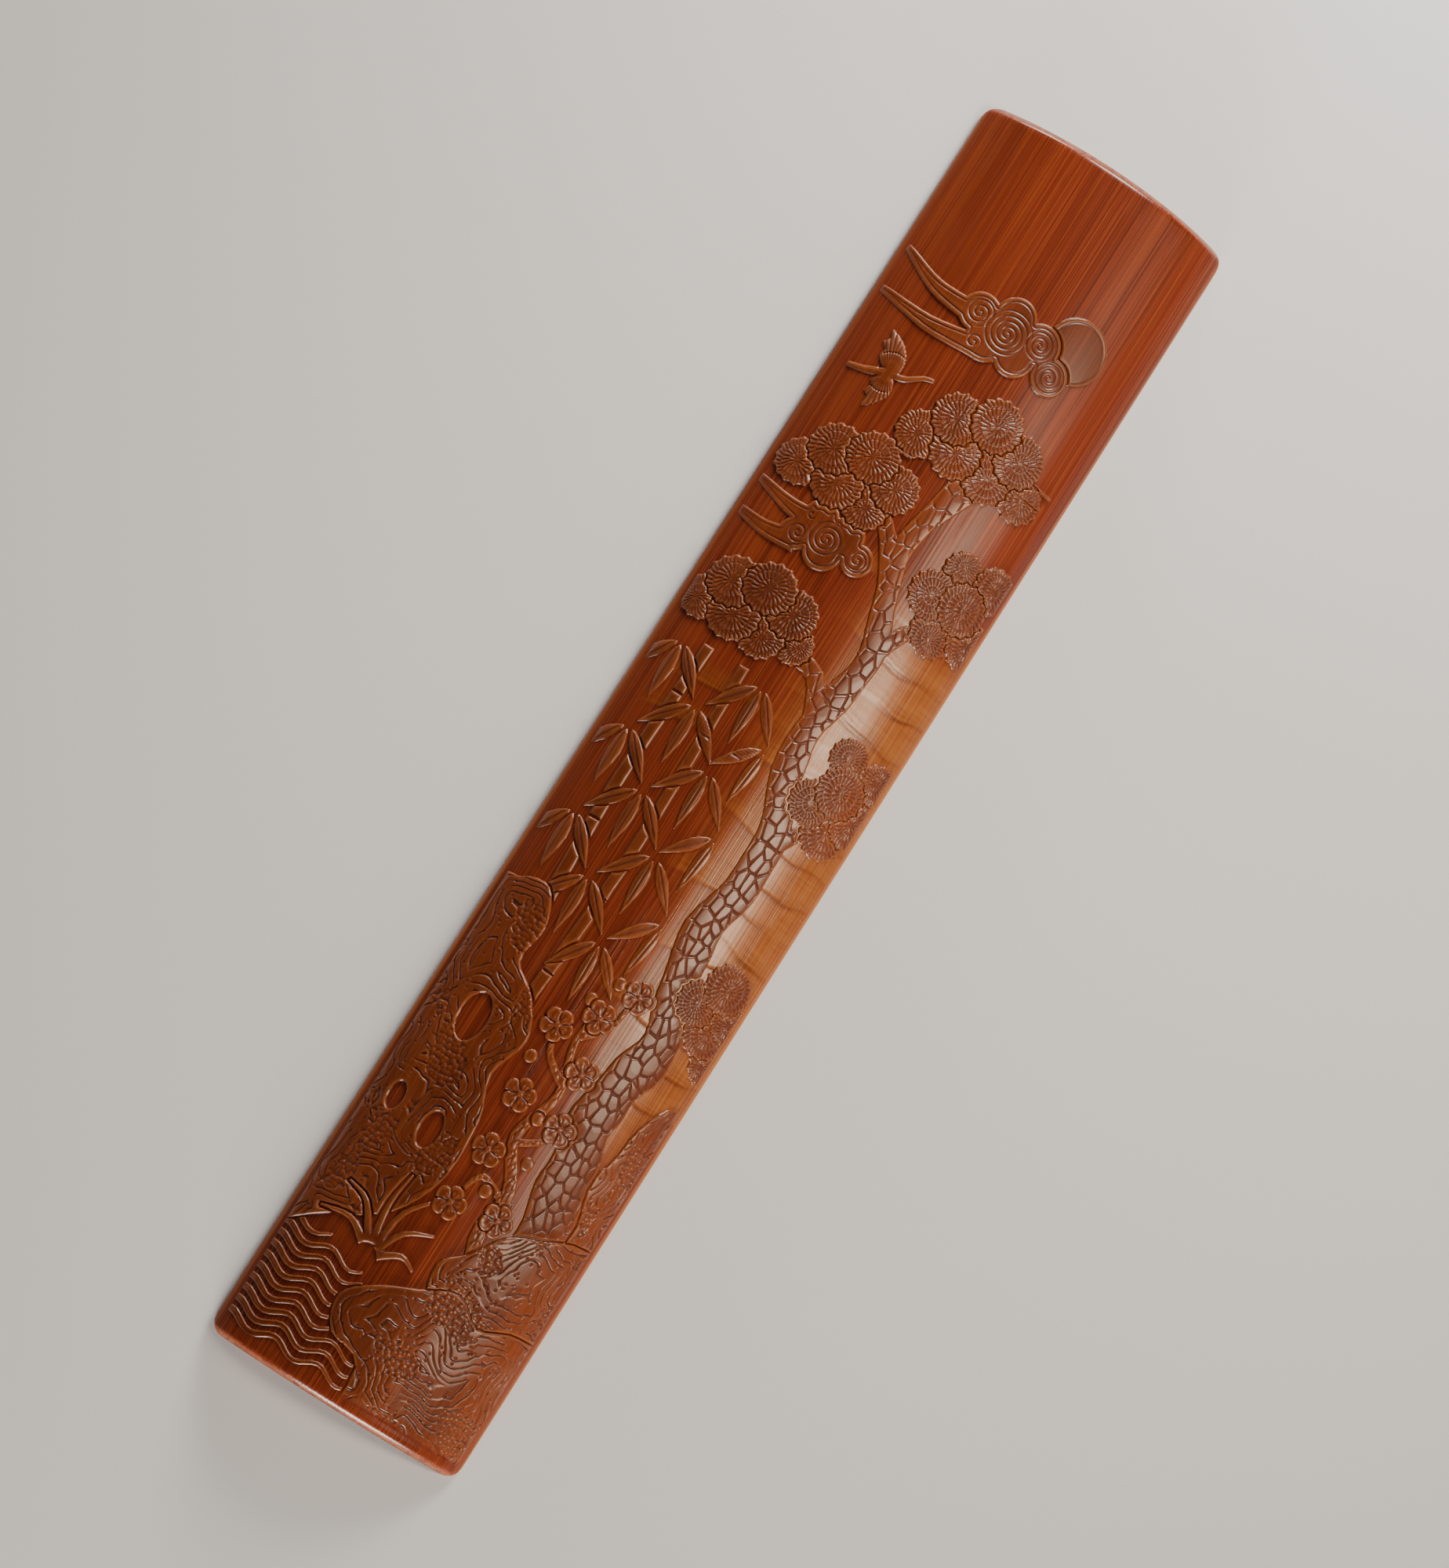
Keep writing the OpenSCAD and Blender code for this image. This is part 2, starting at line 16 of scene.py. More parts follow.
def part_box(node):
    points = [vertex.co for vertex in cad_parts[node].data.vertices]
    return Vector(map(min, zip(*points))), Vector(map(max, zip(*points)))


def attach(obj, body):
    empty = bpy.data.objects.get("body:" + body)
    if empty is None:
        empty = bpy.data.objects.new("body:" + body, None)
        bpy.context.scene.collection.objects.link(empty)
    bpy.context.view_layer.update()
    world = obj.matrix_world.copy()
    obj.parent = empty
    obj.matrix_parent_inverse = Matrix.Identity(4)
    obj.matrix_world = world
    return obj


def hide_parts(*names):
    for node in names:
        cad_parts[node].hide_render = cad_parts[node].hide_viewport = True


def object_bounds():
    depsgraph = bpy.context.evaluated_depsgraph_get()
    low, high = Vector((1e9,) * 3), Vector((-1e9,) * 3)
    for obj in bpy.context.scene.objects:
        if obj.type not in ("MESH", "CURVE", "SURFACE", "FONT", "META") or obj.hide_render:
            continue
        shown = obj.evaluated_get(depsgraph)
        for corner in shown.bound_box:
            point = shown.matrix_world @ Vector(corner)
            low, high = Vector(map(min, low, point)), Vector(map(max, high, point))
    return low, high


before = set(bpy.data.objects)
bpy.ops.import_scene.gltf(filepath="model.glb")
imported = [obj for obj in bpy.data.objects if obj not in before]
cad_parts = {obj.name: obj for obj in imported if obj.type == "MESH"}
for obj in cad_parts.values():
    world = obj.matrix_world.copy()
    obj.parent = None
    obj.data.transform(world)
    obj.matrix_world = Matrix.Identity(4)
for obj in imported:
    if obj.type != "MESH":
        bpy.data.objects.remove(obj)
CAD_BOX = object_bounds()
# Sizes of the pieces are in millimetres, and MM turns them into Blender's metres
MM = 0.001
print("solids in the frame:", len(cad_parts))

# %% [markdown]
# ## Measuring the culm
# Every piece lies on one round culm, so the script needs its radius and the height of its axis. They could
# be typed in, but then they could disagree with the solids. Instead the faces that look up, or down into
# the hollow, are picked from the wall's own mesh, and a circle is fitted to their corners.

# %% Circles fitted to faces
TINY = 1e-12
FEET_HEIGHT = 1.0
MOST_LEAN = 0.01
LEAST_STEEP = 0.75


def corners_mm(name):
    """The corners of a solid, in millimetres."""
    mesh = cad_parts[name].data
    flat = np.empty(len(mesh.vertices) * 3, np.float32)
    mesh.vertices.foreach_get("co", flat)
    return flat.reshape(-1, 3).astype(float) / MM


def triangles_of(name):
    """Three corner numbers for each triangle of a solid."""
    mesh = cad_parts[name].data
    mesh.calc_loop_triangles()
    flat = np.empty(len(mesh.loop_triangles) * 3, np.int32)
    mesh.loop_triangles.foreach_get("vertices", flat)
    return flat.reshape(-1, 3)


def fit_circle(points):
    """The middle and radius of the circle that lies closest to some flat points."""
    a = np.column_stack([points, np.ones(len(points))])
    b = -(points ** 2).sum(1)
    u, v, w = np.linalg.lstsq(a, b, rcond=None)[0]
    middle = np.array([-u / 2, -v / 2])
    return middle, math.sqrt(middle @ middle - w)


def round_face(name, upward):
    """Fits a circle, seen along the culm, to the faces that look up, or down into the hollow."""
    corners, triangles = corners_mm(name), triangles_of(name)
    a, b, c = (corners[triangles[:, i]] for i in range(3))
    normal = np.cross(b - a, c - a)
    normal /= np.linalg.norm(normal, axis=1)[:, None] + TINY
    steep = normal[:, 2] * (1 if upward else -1)
    off_feet = np.minimum(np.minimum(a[:, 2], b[:, 2]), c[:, 2]) > FEET_HEIGHT
    chosen = (abs(normal[:, 1]) < MOST_LEAN) & (steep > LEAST_STEEP) & off_feet
    return fit_circle(corners[np.unique(triangles[chosen])][:, [0, 2]])


wall_low, wall_high = (np.array(corner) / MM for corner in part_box("culm_wall"))
REST_LENGTH = wall_high[1] - wall_low[1]
HALF_LENGTH = REST_LENGTH / 2
HALF_WIDTH = wall_high[0]
CROWN = wall_high[2]
(_, AXIS_Z), CULM_R = round_face("culm_wall", upward=True)
_, HOLLOW_R = round_face("culm_wall", upward=False)
_, PITH_R = round_face("pith_lining", upward=False)
SKIN = CAD_BOX[1][2] / MM - CROWN
SKIN_NODES = [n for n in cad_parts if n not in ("culm_wall", "pith_lining")]
print(f"culm radius {CULM_R:.2f} mm, axis at {AXIS_Z:.2f} mm")
print(f"wall {CULM_R - HOLLOW_R:.2f} mm thick, skin {SKIN:.2f} mm thick")

# %% [markdown]
# ## The camera
# The photograph looks almost straight down, a little from the rest's left and from its bottom end, through
# a long lens. The camera could be aimed by eye with a tracking constraint, but a lean of one degree already
# shows on an arched face. So its two lean angles, its turn and its distance were found by matching the
# corners of the outline.

# %% The camera
LEAN_DOWN = math.radians(6.02)
LEAN_LEFT = math.radians(-5.42)
PICTURE_TURN = math.radians(32.98)
CAMERA_DISTANCE = 914.5 * MM
LENS = 114.9
SENSOR = 36.0

to_camera = Vector((
    math.sin(LEAN_LEFT),
    -math.sin(LEAN_DOWN) * math.cos(LEAN_LEFT),
    math.cos(LEAN_DOWN) * math.cos(LEAN_LEFT),
))
across = Vector((
    math.cos(LEAN_LEFT),
    math.sin(LEAN_DOWN) * math.sin(LEAN_LEFT),
    -math.cos(LEAN_DOWN) * math.sin(LEAN_LEFT),
))
along = Vector((0, math.cos(LEAN_DOWN), math.sin(LEAN_DOWN)))
picture_right = math.cos(PICTURE_TURN) * across + math.sin(PICTURE_TURN) * along
picture_up = math.cos(PICTURE_TURN) * along - math.sin(PICTURE_TURN) * across

camera_data = bpy.data.cameras.new("camera")
camera_data.lens = LENS
camera_data.sensor_width = SENSOR
camera = bpy.data.objects.new("camera", camera_data)
turn = Matrix((picture_right, picture_up, to_camera)).transposed()
camera.matrix_world = Matrix.Translation(to_camera * CAMERA_DISTANCE) @ turn.to_4x4()
bpy.context.scene.collection.objects.link(camera)
bpy.context.scene.camera = camera
print("camera at", [round(v, 3) for v in camera.location])

# %% [markdown]
# ## Light
# Low relief only shows when light rakes over it. One bright world would flatten the carving, so the work is
# done by area lights. The key stands close beyond the rest's top end, which gives every groove a bright lip
# and a shaded side. A tall soft box on the right gives the waxed flank its sheen. Two low ones, past the
# bottom end and past the top left corner, draw a bright line on the rims. A narrow spread keeps a light's
# beam on the rest, so that it is mirrored brightly and adds little to the floor.

# %% Lights and the world
WARM_WHITE = (1.0, 0.95, 0.88)
AMBER = (1.0, 0.82, 0.6)
TOP_END = (0, 0.13, 0.01)
SKY_COLOUR = (0.86, 0.9, 1.0, 1)
SKY_STRENGTH = 0.06


def soft_light(name, direction, distance, size, power, colour, spread=180, aim=(0, 0, 0)):
    """A soft box that looks at a point of the rest, from a direction in the object's own frame.
    Lengths are in metres, the power is in watts and the spread in degrees."""
    place = Vector(direction).normalized() * distance
    data = bpy.data.lights.new(name, "AREA")
    data.shape = "RECTANGLE"
    data.size, data.size_y = size
    data.energy = power
    data.color = colour
    data.spread = math.radians(spread)
    light = bpy.data.objects.new(name, data)
    light.location = place
    light.rotation_euler = (Vector(aim) - place).to_track_quat("-Z", "Y").to_euler()
    bpy.context.scene.collection.objects.link(light)
    return light


soft_light("key", (0.07, 0.88, 0.44), 0.5, (0.17, 0.17), 3.15, WARM_WHITE)
soft_light("flank", (0.69, 0.08, 0.72), 0.9, (0.16, 0.5), 0.58, AMBER, spread=50)
soft_light("kicker", (0.19, -0.97, 0.15), 0.6, (0.4, 0.1), 1.5, WARM_WHITE, spread=90)
soft_light("rim", (-0.34, 0.94, 0.1), 0.72, (0.4, 0.06), 0.16, WARM_WHITE, spread=30, aim=TOP_END)
world = bpy.data.worlds.new("studio")
world.use_nodes = True
sky = world.node_tree.nodes["Background"]
sky.inputs["Color"].default_value = SKY_COLOUR
sky.inputs["Strength"].default_value = SKY_STRENGTH
bpy.context.scene.world = world

# %% [markdown]
# ## Writing shader maths as Python
# A material is a graph of nodes. Sums and products are easier to read as expressions, so a small class
# wraps one output socket and turns each operator into a Math node. Any other node comes from one method,
# which sets the node's own settings first and then its sockets. Colours are mixed with Mix nodes, because a
# Math node would turn them grey. The whole graph could be wired by hand instead, at the price of many more
# lines.


# %% A wire
class Wire:
    """One output socket in a node tree, with the operators that shader maths needs."""

    def __init__(self, tree, socket=None):
        self.tree = tree
        self.socket = socket

    def add(self, kind, settings=None, sockets=None, out=0):
        """Adds a node: its settings first, then the values or links of its sockets."""
        node = self.tree.nodes.new(kind)
        settings = dict(settings or {})
        stops = settings.pop("stops", ())
        for name, value in settings.items():
            setattr(node, name, value)
        for place, (position, colour) in enumerate(stops):
            if place >= len(node.color_ramp.elements):
                node.color_ramp.elements.new(position)
            node.color_ramp.elements[place].position = position
            node.color_ramp.elements[place].color = colour
        for name, value in (sockets or {}).items():
            socket = self.find(node.inputs, name)
            if isinstance(value, Wire):
                self.tree.links.new(value.socket, socket)
            else:
                socket.default_value = value
        return Wire(self.tree, self.find(node.outputs, out)) if len(node.outputs) else node

    @staticmethod
    def find(sockets, name):
        """A socket by its place in the row, its name or its identifier."""
        if isinstance(name, int):
            return sockets[name]
        return next(s for s in sockets if name in (s.identifier, s.name))

    def math(self, operation, *others):
        """A Math node with this wire as its first value."""
        return self.add("ShaderNodeMath", {"operation": operation}, dict(enumerate((self,) + others)))

    def reflected(self, operation, other):
        """A Math node with this wire as its second value, as in 1 - mask."""
        return self.add("ShaderNodeMath", {"operation": operation}, {0: other, 1: self})

    def __add__(self, other):
        return self.math("ADD", other)

    def __sub__(self, other):
        return self.math("SUBTRACT", other)

    def __mul__(self, other):
        return self.math("MULTIPLY", other)

    def __truediv__(self, other):
        return self.math("DIVIDE", other)

    def __radd__(self, other):
        return self.reflected("ADD", other)

    def __rsub__(self, other):
        return self.reflected("SUBTRACT", other)

    def __rmul__(self, other):
        return self.reflected("MULTIPLY", other)

    def __rtruediv__(self, other):
        return self.reflected("DIVIDE", other)


print("wires can be added, subtracted, multiplied and divided")


# %% Colours and materials
def blend(factor, first, second):
    """Mixes two colours."""
    wire = next(v for v in (factor, first, second) if isinstance(v, Wire))
    settings = {"data_type": "RGBA", "blend_type": "MIX"}
    sockets = {"Factor_Float": factor, "A_Color": first, "B_Color": second}
    return wire.add("ShaderNodeMix", settings, sockets, out="Result_Color")


def new_finish(name):
    """An empty material, and a wire to start from that has no socket yet."""
    material = bpy.data.materials.new(name)
    material.use_nodes = True
    material.node_tree.nodes.clear()
    return material, Wire(material.node_tree)


def shade(start, sockets):
    """Ends a material with one Principled shader."""
    surface = start.add("ShaderNodeBsdfPrincipled", None, sockets)
    start.add("ShaderNodeOutputMaterial", None, {"Surface": surface})


def tone(red, green, blue):
    """A colour as it is read off a screen, from 0 to 255, turned into the linear light that shaders use."""
    screen = np.array([red, green, blue]) / 255
    linear = np.where(screen <= 0.04045, screen / 12.92, ((screen + 0.055) / 1.055) ** 2.4)
    return (*(float(v) for v in linear), 1.0)


print("mid grey on a screen is", round(tone(128, 128, 128)[0], 3), "in linear light")

# %% [markdown]
# ## The floor
# The floor is only there to catch light and shadow. A curved backdrop would do as well, but the camera
# looks down, so one square is enough, wide enough to fill the picture behind the rest. Its finish has a
# faint speckle.

# %% A pale floor
FLOOR_SIZE = 6.0
floor_finish, start = new_finish("pale_floor")
speckle = start.add("ShaderNodeTexNoise", None, {"Scale": 18.0, "Detail": 3.0})
floor_colour = blend(speckle, tone(214, 214, 216), tone(222, 222, 223))
shade(start, {"Base Color": floor_colour, "Roughness": 0.75})
floor_mesh = bpy.data.meshes.new("floor")
half = FLOOR_SIZE / 2
floor_corners = [(-half, -half, 0), (half, -half, 0), (half, half, 0), (-half, half, 0)]
floor_mesh.from_pydata(floor_corners, [], [(0, 1, 2, 3)])
floor_mesh.materials.append(floor_finish)
floor = bpy.data.objects.new("floor", floor_mesh)
bpy.context.scene.collection.objects.link(floor)
print("floor is", FLOOR_SIZE, "m wide")

# %% [markdown]
# ## Unrolling the culm
# Carving on a round face is easiest to describe on a flat sheet, as if the skin were peeled off and pressed
# flat. A point of the sheet is its distance round the culm, its distance along it, and its height above the
# bare fibre. A modifier could bend a flat mesh round the culm, but two short functions, to the sheet and
# back, are exact and work on any list of points.


# %% Sheet and space
def to_sheet(points):
    """Round the culm, along it, and above the bare face, in millimetres."""
    x, y, z = points.T
    return np.column_stack([CULM_R * np.arctan2(x, z - AXIS_Z), y, np.hypot(x, z - AXIS_Z) - CULM_R])


def to_space(around, along_culm, height):
    """The same point in the object's own frame, in millimetres."""
    angle = around / CULM_R
    radius = CULM_R + height
    return np.column_stack([radius * np.sin(angle), along_culm, AXIS_Z + radius * np.cos(angle)])


FACE_HALF = CULM_R * math.asin(HALF_WIDTH / CULM_R)
print("the bare face is", round(2 * FACE_HALF, 1), "mm round")


# %% Soft steps and seeded noise
def ease(low, high, x):
    """A smooth rise from 0 to 1 as x goes from low to high."""
    t = np.clip((x - low) / (high - low), 0, 1)
    return t * t * (3 - 2 * t)


def waves(a, b, size, seed, count=16):
    """Smooth seeded noise, mostly between -1 and 1, from plane waves about one size long."""
    draw = np.random.default_rng(seed)
    total = np.zeros_like(a, dtype=float)
    for _ in range(count):
        angle = draw.uniform(0, 2 * math.pi)
        turns = 2 * math.pi / (size * draw.uniform(0.75, 1.7))
        total += np.cos(turns * (a * math.cos(angle) + b * math.sin(angle)) + draw.uniform(0, 2 * math.pi))
    return total / math.sqrt(count)


sample = waves(*np.meshgrid(np.linspace(0, 100, 50), np.linspace(0, 100, 50)), 10, 0)
print(f"noise runs from {sample.min():.1f} to {sample.max():.1f}")

# %% [markdown]
# ## Reading the picture's outlines
# The solids already say where each motif lies. The top faces of a skin solid are picked out, and the edges
# that only one of them uses are its outline. Each loose island is kept apart, because a leaf or a spray of
# needles is carved about its own middle. The outlines could be typed in again, but then they could drift.

# %% Outlines of the islands
TOP_SHARE = 0.6


def island_labels(triangles, count):
    """A number for each corner, which all the corners of one island share."""
    label = np.arange(count)
    while True:
        lowest = label[triangles].min(1)
        renewed = label.copy()
        for i in range(3):
            np.minimum.at(renewed, triangles[:, i], lowest)
        if (renewed == label).all():
            return label
        label = renewed


def islands(name):
    """The outline of each loose island of a skin solid, as segments on the sheet."""
    corners = corners_mm(name)
    sheet = to_sheet(corners)
    _, merged = np.unique(np.round(corners, 2), axis=0, return_inverse=True)
    merged = merged.ravel()
    place = np.zeros((merged.max() + 1, 2))
    place[merged] = sheet[:, :2]
    triangles = triangles_of(name)
    top = merged[triangles[(sheet[:, 2] > TOP_SHARE * SKIN)[triangles].all(1)]]
    used = {}
    for a, b in np.concatenate([top[:, [0, 1]], top[:, [1, 2]], top[:, [2, 0]]]):
        key = (min(a, b), max(a, b))
        used[key] = used.get(key, 0) + 1
    rim = np.array([k for k, n in used.items() if n == 1])
    segments = np.column_stack([place[rim[:, 0]], place[rim[:, 1]]])
    island = island_labels(top, len(place))[rim[:, 0]]
    return [segments[island == part] for part in np.unique(island)]


OUTLINES = {name: islands(name) for name in SKIN_NODES}
print("islands of skin:", sum(len(parts) for parts in OUTLINES.values()))

# %% [markdown]
# ## A depth map for each island
# Each island gets a fine square grid, and at each grid point the distance to its outline: positive inside,
# negative outside. Carvers think the same way, in strokes that keep a distance from an edge. The grid runs
# a little past the outline, where the carved edge has already dived under the bare face, so that the
# visible edge is a clean line and not a staircase of grid squares. A displacement modifier could do the
# carving too, but it would need a texture to read from, and this way the numbers stay in view.

# %% Distance to an outline
GRID = 0.13
EDGE_REACH = 0.4
EDGE_SLOPE = 2.0
EDGE_SOFTNESS = 0.06
FAR = 1e9


def distances(segments):
    """A grid over one island: places round and along the culm, and signed distance to the outline."""
    ends = segments.reshape(-1, 2)
    low, high = ends.min(0) - 2 * EDGE_REACH, ends.max(0) + 2 * EDGE_REACH
    around = np.arange(low[0], high[0] + GRID, GRID)
    lengthwise = np.arange(low[1], high[1] + GRID, GRID)
    a, b = np.meshgrid(around, lengthwise, indexing="ij")
    nearest = np.full(a.shape, FAR)
    inside = np.zeros(a.shape, bool)
    for s0, y0, s1, y1 in segments:
        ds, dy = s1 - s0, y1 - y0
        t = np.clip(((a - s0) * ds + (b - y0) * dy) / (ds * ds + dy * dy + TINY), 0, 1)
        np.minimum(nearest, (a - s0 - t * ds) ** 2 + (b - y0 - t * dy) ** 2, out=nearest)
        rows = np.nonzero((lengthwise > min(y0, y1)) & (lengthwise <= max(y0, y1)))[0]
        if len(rows):
            crossing = s0 + (lengthwise[rows] - y0) * ds / dy
            inside[:, rows] ^= around[:, None] > crossing[None, :]
    return a, b, np.where(inside, 1, -1) * np.sqrt(nearest)


def standing_edge(depth_in, thickness):
    """The height of skin near its edge: flat inside, with a soft arris and a sloped side."""
    return thickness - EDGE_SLOPE * EDGE_SOFTNESS * np.logaddexp(0, -depth_in / EDGE_SOFTNESS)


def blurred(field, cells):
    """A box blur, twice, over a few grid cells."""
    for _ in range(2):
        for axis in (0, 1):
            padded = np.concatenate([np.repeat(field.take([0], axis), cells + 1, axis), field,
                                     np.repeat(field.take([-1], axis), cells, axis)], axis)
            total = np.cumsum(padded, axis)
            width = 2 * cells + 1
            field = (np.take(total, range(width, total.shape[axis]), axis)
                     - np.take(total, range(0, total.shape[axis] - width), axis)) / width
    return field


print("grid step", GRID, "mm")

# %% [markdown]
# ## Carving strokes
# A few strokes make most of the relief: a groove from a V tool, round pits from a punch, and plates that
# split like bark. Each cut could be a boolean, but thousands of them would be slow and fragile, so a stroke
# only lowers the depth map. Plates come from scattered points, one to each cell of a jittered grid: where
# the two nearest points are equally far, there is a crack.


# %% Grooves, pits and plates
def groove(distance, width, depth):
    """A soft groove along the line where a distance is 0."""
    return -depth * np.exp(-(distance / width) ** 2)


def scatter(a, b, size_a, size_b, seed, jitter=0.75):
    """For each place: the distances, in cells, to the nearest two of some scattered points, how far the
    place lies beyond the nearest one along the culm, and a number that belongs to that point."""
    draw = np.random.default_rng(seed)
    u, v = a / size_a, b / size_b
    iu, iv = np.floor(u).astype(int), np.floor(v).astype(int)
    base_u, base_v = iu.min() - 1, iv.min() - 1
    shape = (iu.max() - base_u + 2, iv.max() - base_v + 2)
    shift = 0.5 + jitter * (draw.random(shape + (2,)) - 0.5)
    label = draw.random(shape)
    first = np.full(u.shape, 9.0)
    second = np.full(u.shape, 9.0)
    beyond = np.zeros(u.shape)
    number = np.zeros(u.shape)
    for i in (-1, 0, 1):
        for j in (-1, 0, 1):
            cell = (iu + i - base_u, iv + j - base_v)
            row_shift = 0.5 * ((iv + j) % 2) - 0.25
            off_u = u - (iu + i + shift[cell + (0,)] + row_shift)
            off_v = v - (iv + j + shift[cell + (1,)])
            gap = np.hypot(off_u, off_v)
            closer = gap < first
            second = np.where(closer, first, np.minimum(second, gap))
            beyond = np.where(closer, off_v, beyond)
            number = np.where(closer, label[cell], number)
            first = np.where(closer, gap, first)
    return first, second, beyond, number


print(f"half its width away, a groove still has {-groove(0.5, width=1, depth=1):.0%} of its depth")

# %% [markdown]
# ## Rocks
# Every motif has its own short function. It is given one island's grid, flattened to lists of points, and
# returns the height of the skin there. A carved rock is a flat face with broken contour strokes, punched
# moss dots and patches of low shrubs. It could be sculpted with a brush, stroke by stroke. Carvers keep
# such strokes at an even distance from the edge, so here they are the contour lines of that distance, bent
# by smooth noise.

# %% Rocks
KEPT = 0.84 * SKIN
STROKE = 0.46 * SKIN
ROCK_PITCH = 1.6
TUFT_PITCH = 1.05
TUFT_RADIUS = 0.58


def carve_rock(around, lengthwise, depth_in, outline, seed):
    """A flat face with broken contour strokes and punched dots, and patches of low shrubs in round tufts."""
    bend = 1.3 * waves(around, lengthwise, 9, seed)
    tremble = 0.14 * waves(around, lengthwise, 2.6, seed + 1)
    rise = (depth_in + bend + tremble) / ROCK_PITCH
    ledge = rise - np.floor(rise)
    line = np.minimum(ledge, 1 - ledge) * ROCK_PITCH
    unbroken = ease(-0.9, -0.3, waves(around, lengthwise, 6, seed + 2))
    edge_wear = 0.12 * np.exp(-np.maximum(depth_in, 0) / 0.5)
    height = standing_edge(depth_in, KEPT * (0.94 + 0.05 * waves(around, lengthwise, 12, seed + 3)))
    height += SKIN * (0.13 * (ledge - ease(0.86, 1, ledge)) - edge_wear)
    height += groove(line, width=0.13, depth=STROKE) * unbroken * ease(0.1, 0.45, depth_in)
    gap, _, beyond, number = scatter(around, lengthwise, TUFT_PITCH, TUFT_PITCH, seed + 4, 0.7)
    tuft = np.sqrt(np.clip(1 - (gap / TUFT_RADIUS) ** 2, 0, 1)) * (0.72 + 0.5 * beyond)
    shrubs = standing_edge(depth_in, 0.45 * KEPT) + STROKE * tuft
    dots = groove(gap * TUFT_PITCH, width=0.2, depth=0.8 * STROKE) * (number > 0.82)
    dots = dots * ease(0.3, 0.7, depth_in)
    patchy = waves(around, lengthwise, 12, seed + 5) + 0.2 * waves(around, lengthwise, 2, seed + 6)
    leafy = ease(0.5, 0.6, patchy)
    return (height + dots) * (1 - leafy) + shrubs * leafy


print(f"rock strokes lie about {ROCK_PITCH} mm apart, and tufts {TUFT_PITCH} mm")

# %% [markdown]
# ## Pine
# The trunk wears plates of bark, and each spray is a round tuft of needles that fan out from its middle.
# Every plate and needle could be a mesh of its own, but then hundreds of them would have to be fused. Here
# cells round scattered points give the plates, and a wave that runs round the spray gives the needles, in
# three tiers. A spray that others partly hide still fans out from its true middle, so a circle is fitted to
# the hull of what is left of it.

# %% The disc of a round motif
ROUND_ENOUGH = 0.15


def turns_left(p, q, r):
    """Whether the way from p over q to r bends to the left."""
    return (q[0] - p[0]) * (r[1] - q[1]) - (q[1] - p[1]) * (r[0] - q[0]) > 0


def hull(points):
    """The corners of the convex hull of some flat points."""
    ordered = sorted(map(tuple, np.unique(np.round(points, 3), axis=0)))

    def chain(items):
        kept = []
        for p in items:
            while len(kept) > 1 and not turns_left(kept[-2], kept[-1], p):
                kept.pop()
            kept.append(p)
        return kept[:-1]

    return np.array(chain(ordered) + chain(ordered[::-1]))


def disc_of(outline):
    """The middle and radius of a round motif, even where others hide part of it."""
    rim = hull(outline.reshape(-1, 2))
    middle, radius = fit_circle(rim)
    for _ in range(3):
        off = abs(np.hypot(*(rim - middle).T) - radius)
        kept = rim[off < max(ROUND_ENOUGH, np.median(off) * 2)]
        if len(kept) >= 4:
            middle, radius = fit_circle(kept)
    return middle, radius


print("the moon is", round(2 * disc_of(OUTLINES["moon_disc"][0])[1], 1), "mm wide")

# %% Pine
BARK_WIDTH = 2.1
BARK_HEIGHT = 3.1
TRUNK_FALL = 1.0


def carve_bark(around, lengthwise, depth_in, outline, seed):
    """Plates of bark, each tilted a little, on a trunk that falls away towards its edges."""
    height = standing_edge(depth_in, SKIN) - 0.4 * SKIN * np.exp(-np.maximum(depth_in, 0) / TRUNK_FALL)
    first, second, beyond, number = scatter(around, lengthwise, BARK_WIDTH, BARK_HEIGHT, seed, 0.9)
    crack = (second - first) * BARK_WIDTH / 2
    height += groove(crack, width=0.11, depth=0.75 * STROKE) * ease(0.1, 0.6, depth_in)
    return height + SKIN * (0.08 * (number - 0.5) + 0.14 * beyond)


TIERS = 3
NEEDLES = 11


def carve_spray(around, lengthwise, depth_in, outline, seed):
    """A rosette of needles in tiers. Each tier starts under the tips of the one inside it."""
    middle, radius = disc_of(outline)
    out = np.hypot(around - middle[0], lengthwise - middle[1]) / radius
    angle = np.arctan2(lengthwise - middle[1], around - middle[0]) + 0.05 * np.sin(9 * out + seed)
    tier = np.clip(np.floor(out * TIERS), 0, TIERS - 1)
    within = out * TIERS - tier
    needles = 0.5 + 0.5 * np.cos(NEEDLES * (tier + 1) * angle + 2.4 * tier)
    height = standing_edge(depth_in, KEPT) - 0.12 * SKIN * out ** 2
    height -= 0.75 * STROKE * (1 - needles) ** 3 * ease(0.05, 0.3, within)
    return height + SKIN * (0.2 * within - 0.24 * ease(0.86, 1, within) * (tier < TIERS - 1))


print(f"bark plates are about {BARK_WIDTH} by {BARK_HEIGHT} mm, and a spray has {TIERS} tiers of needles")

# %% [markdown]
# ## Bamboo and orchid
# Canes and orchid blades stand as rounded rods, and a bamboo leaf as two slopes that meet in a cut midrib.
# A rod could be a curve with a round bevel, but a curve wouldn't fill the outline that the solid already
# has. The height is worked out from the distance to that outline instead, so rod and outline always agree.

# %% Bamboo and orchid
LEAST_HALF_WIDTH = 0.3
LEAF_RIB = 0.5


def carve_round(around, lengthwise, depth_in, outline, seed):
    """A rounded rod: canes, orchid blades, buds, and plum wood before its bark is cut."""
    half_width = max(depth_in.max(), LEAST_HALF_WIDTH)
    share = np.clip(depth_in / half_width, 0, 1)
    height = standing_edge(depth_in, KEPT * (0.55 + 0.45 * np.sqrt(1 - (1 - share) ** 2)))
    return height + 0.03 * SKIN * waves(around, lengthwise, 1.6, seed)


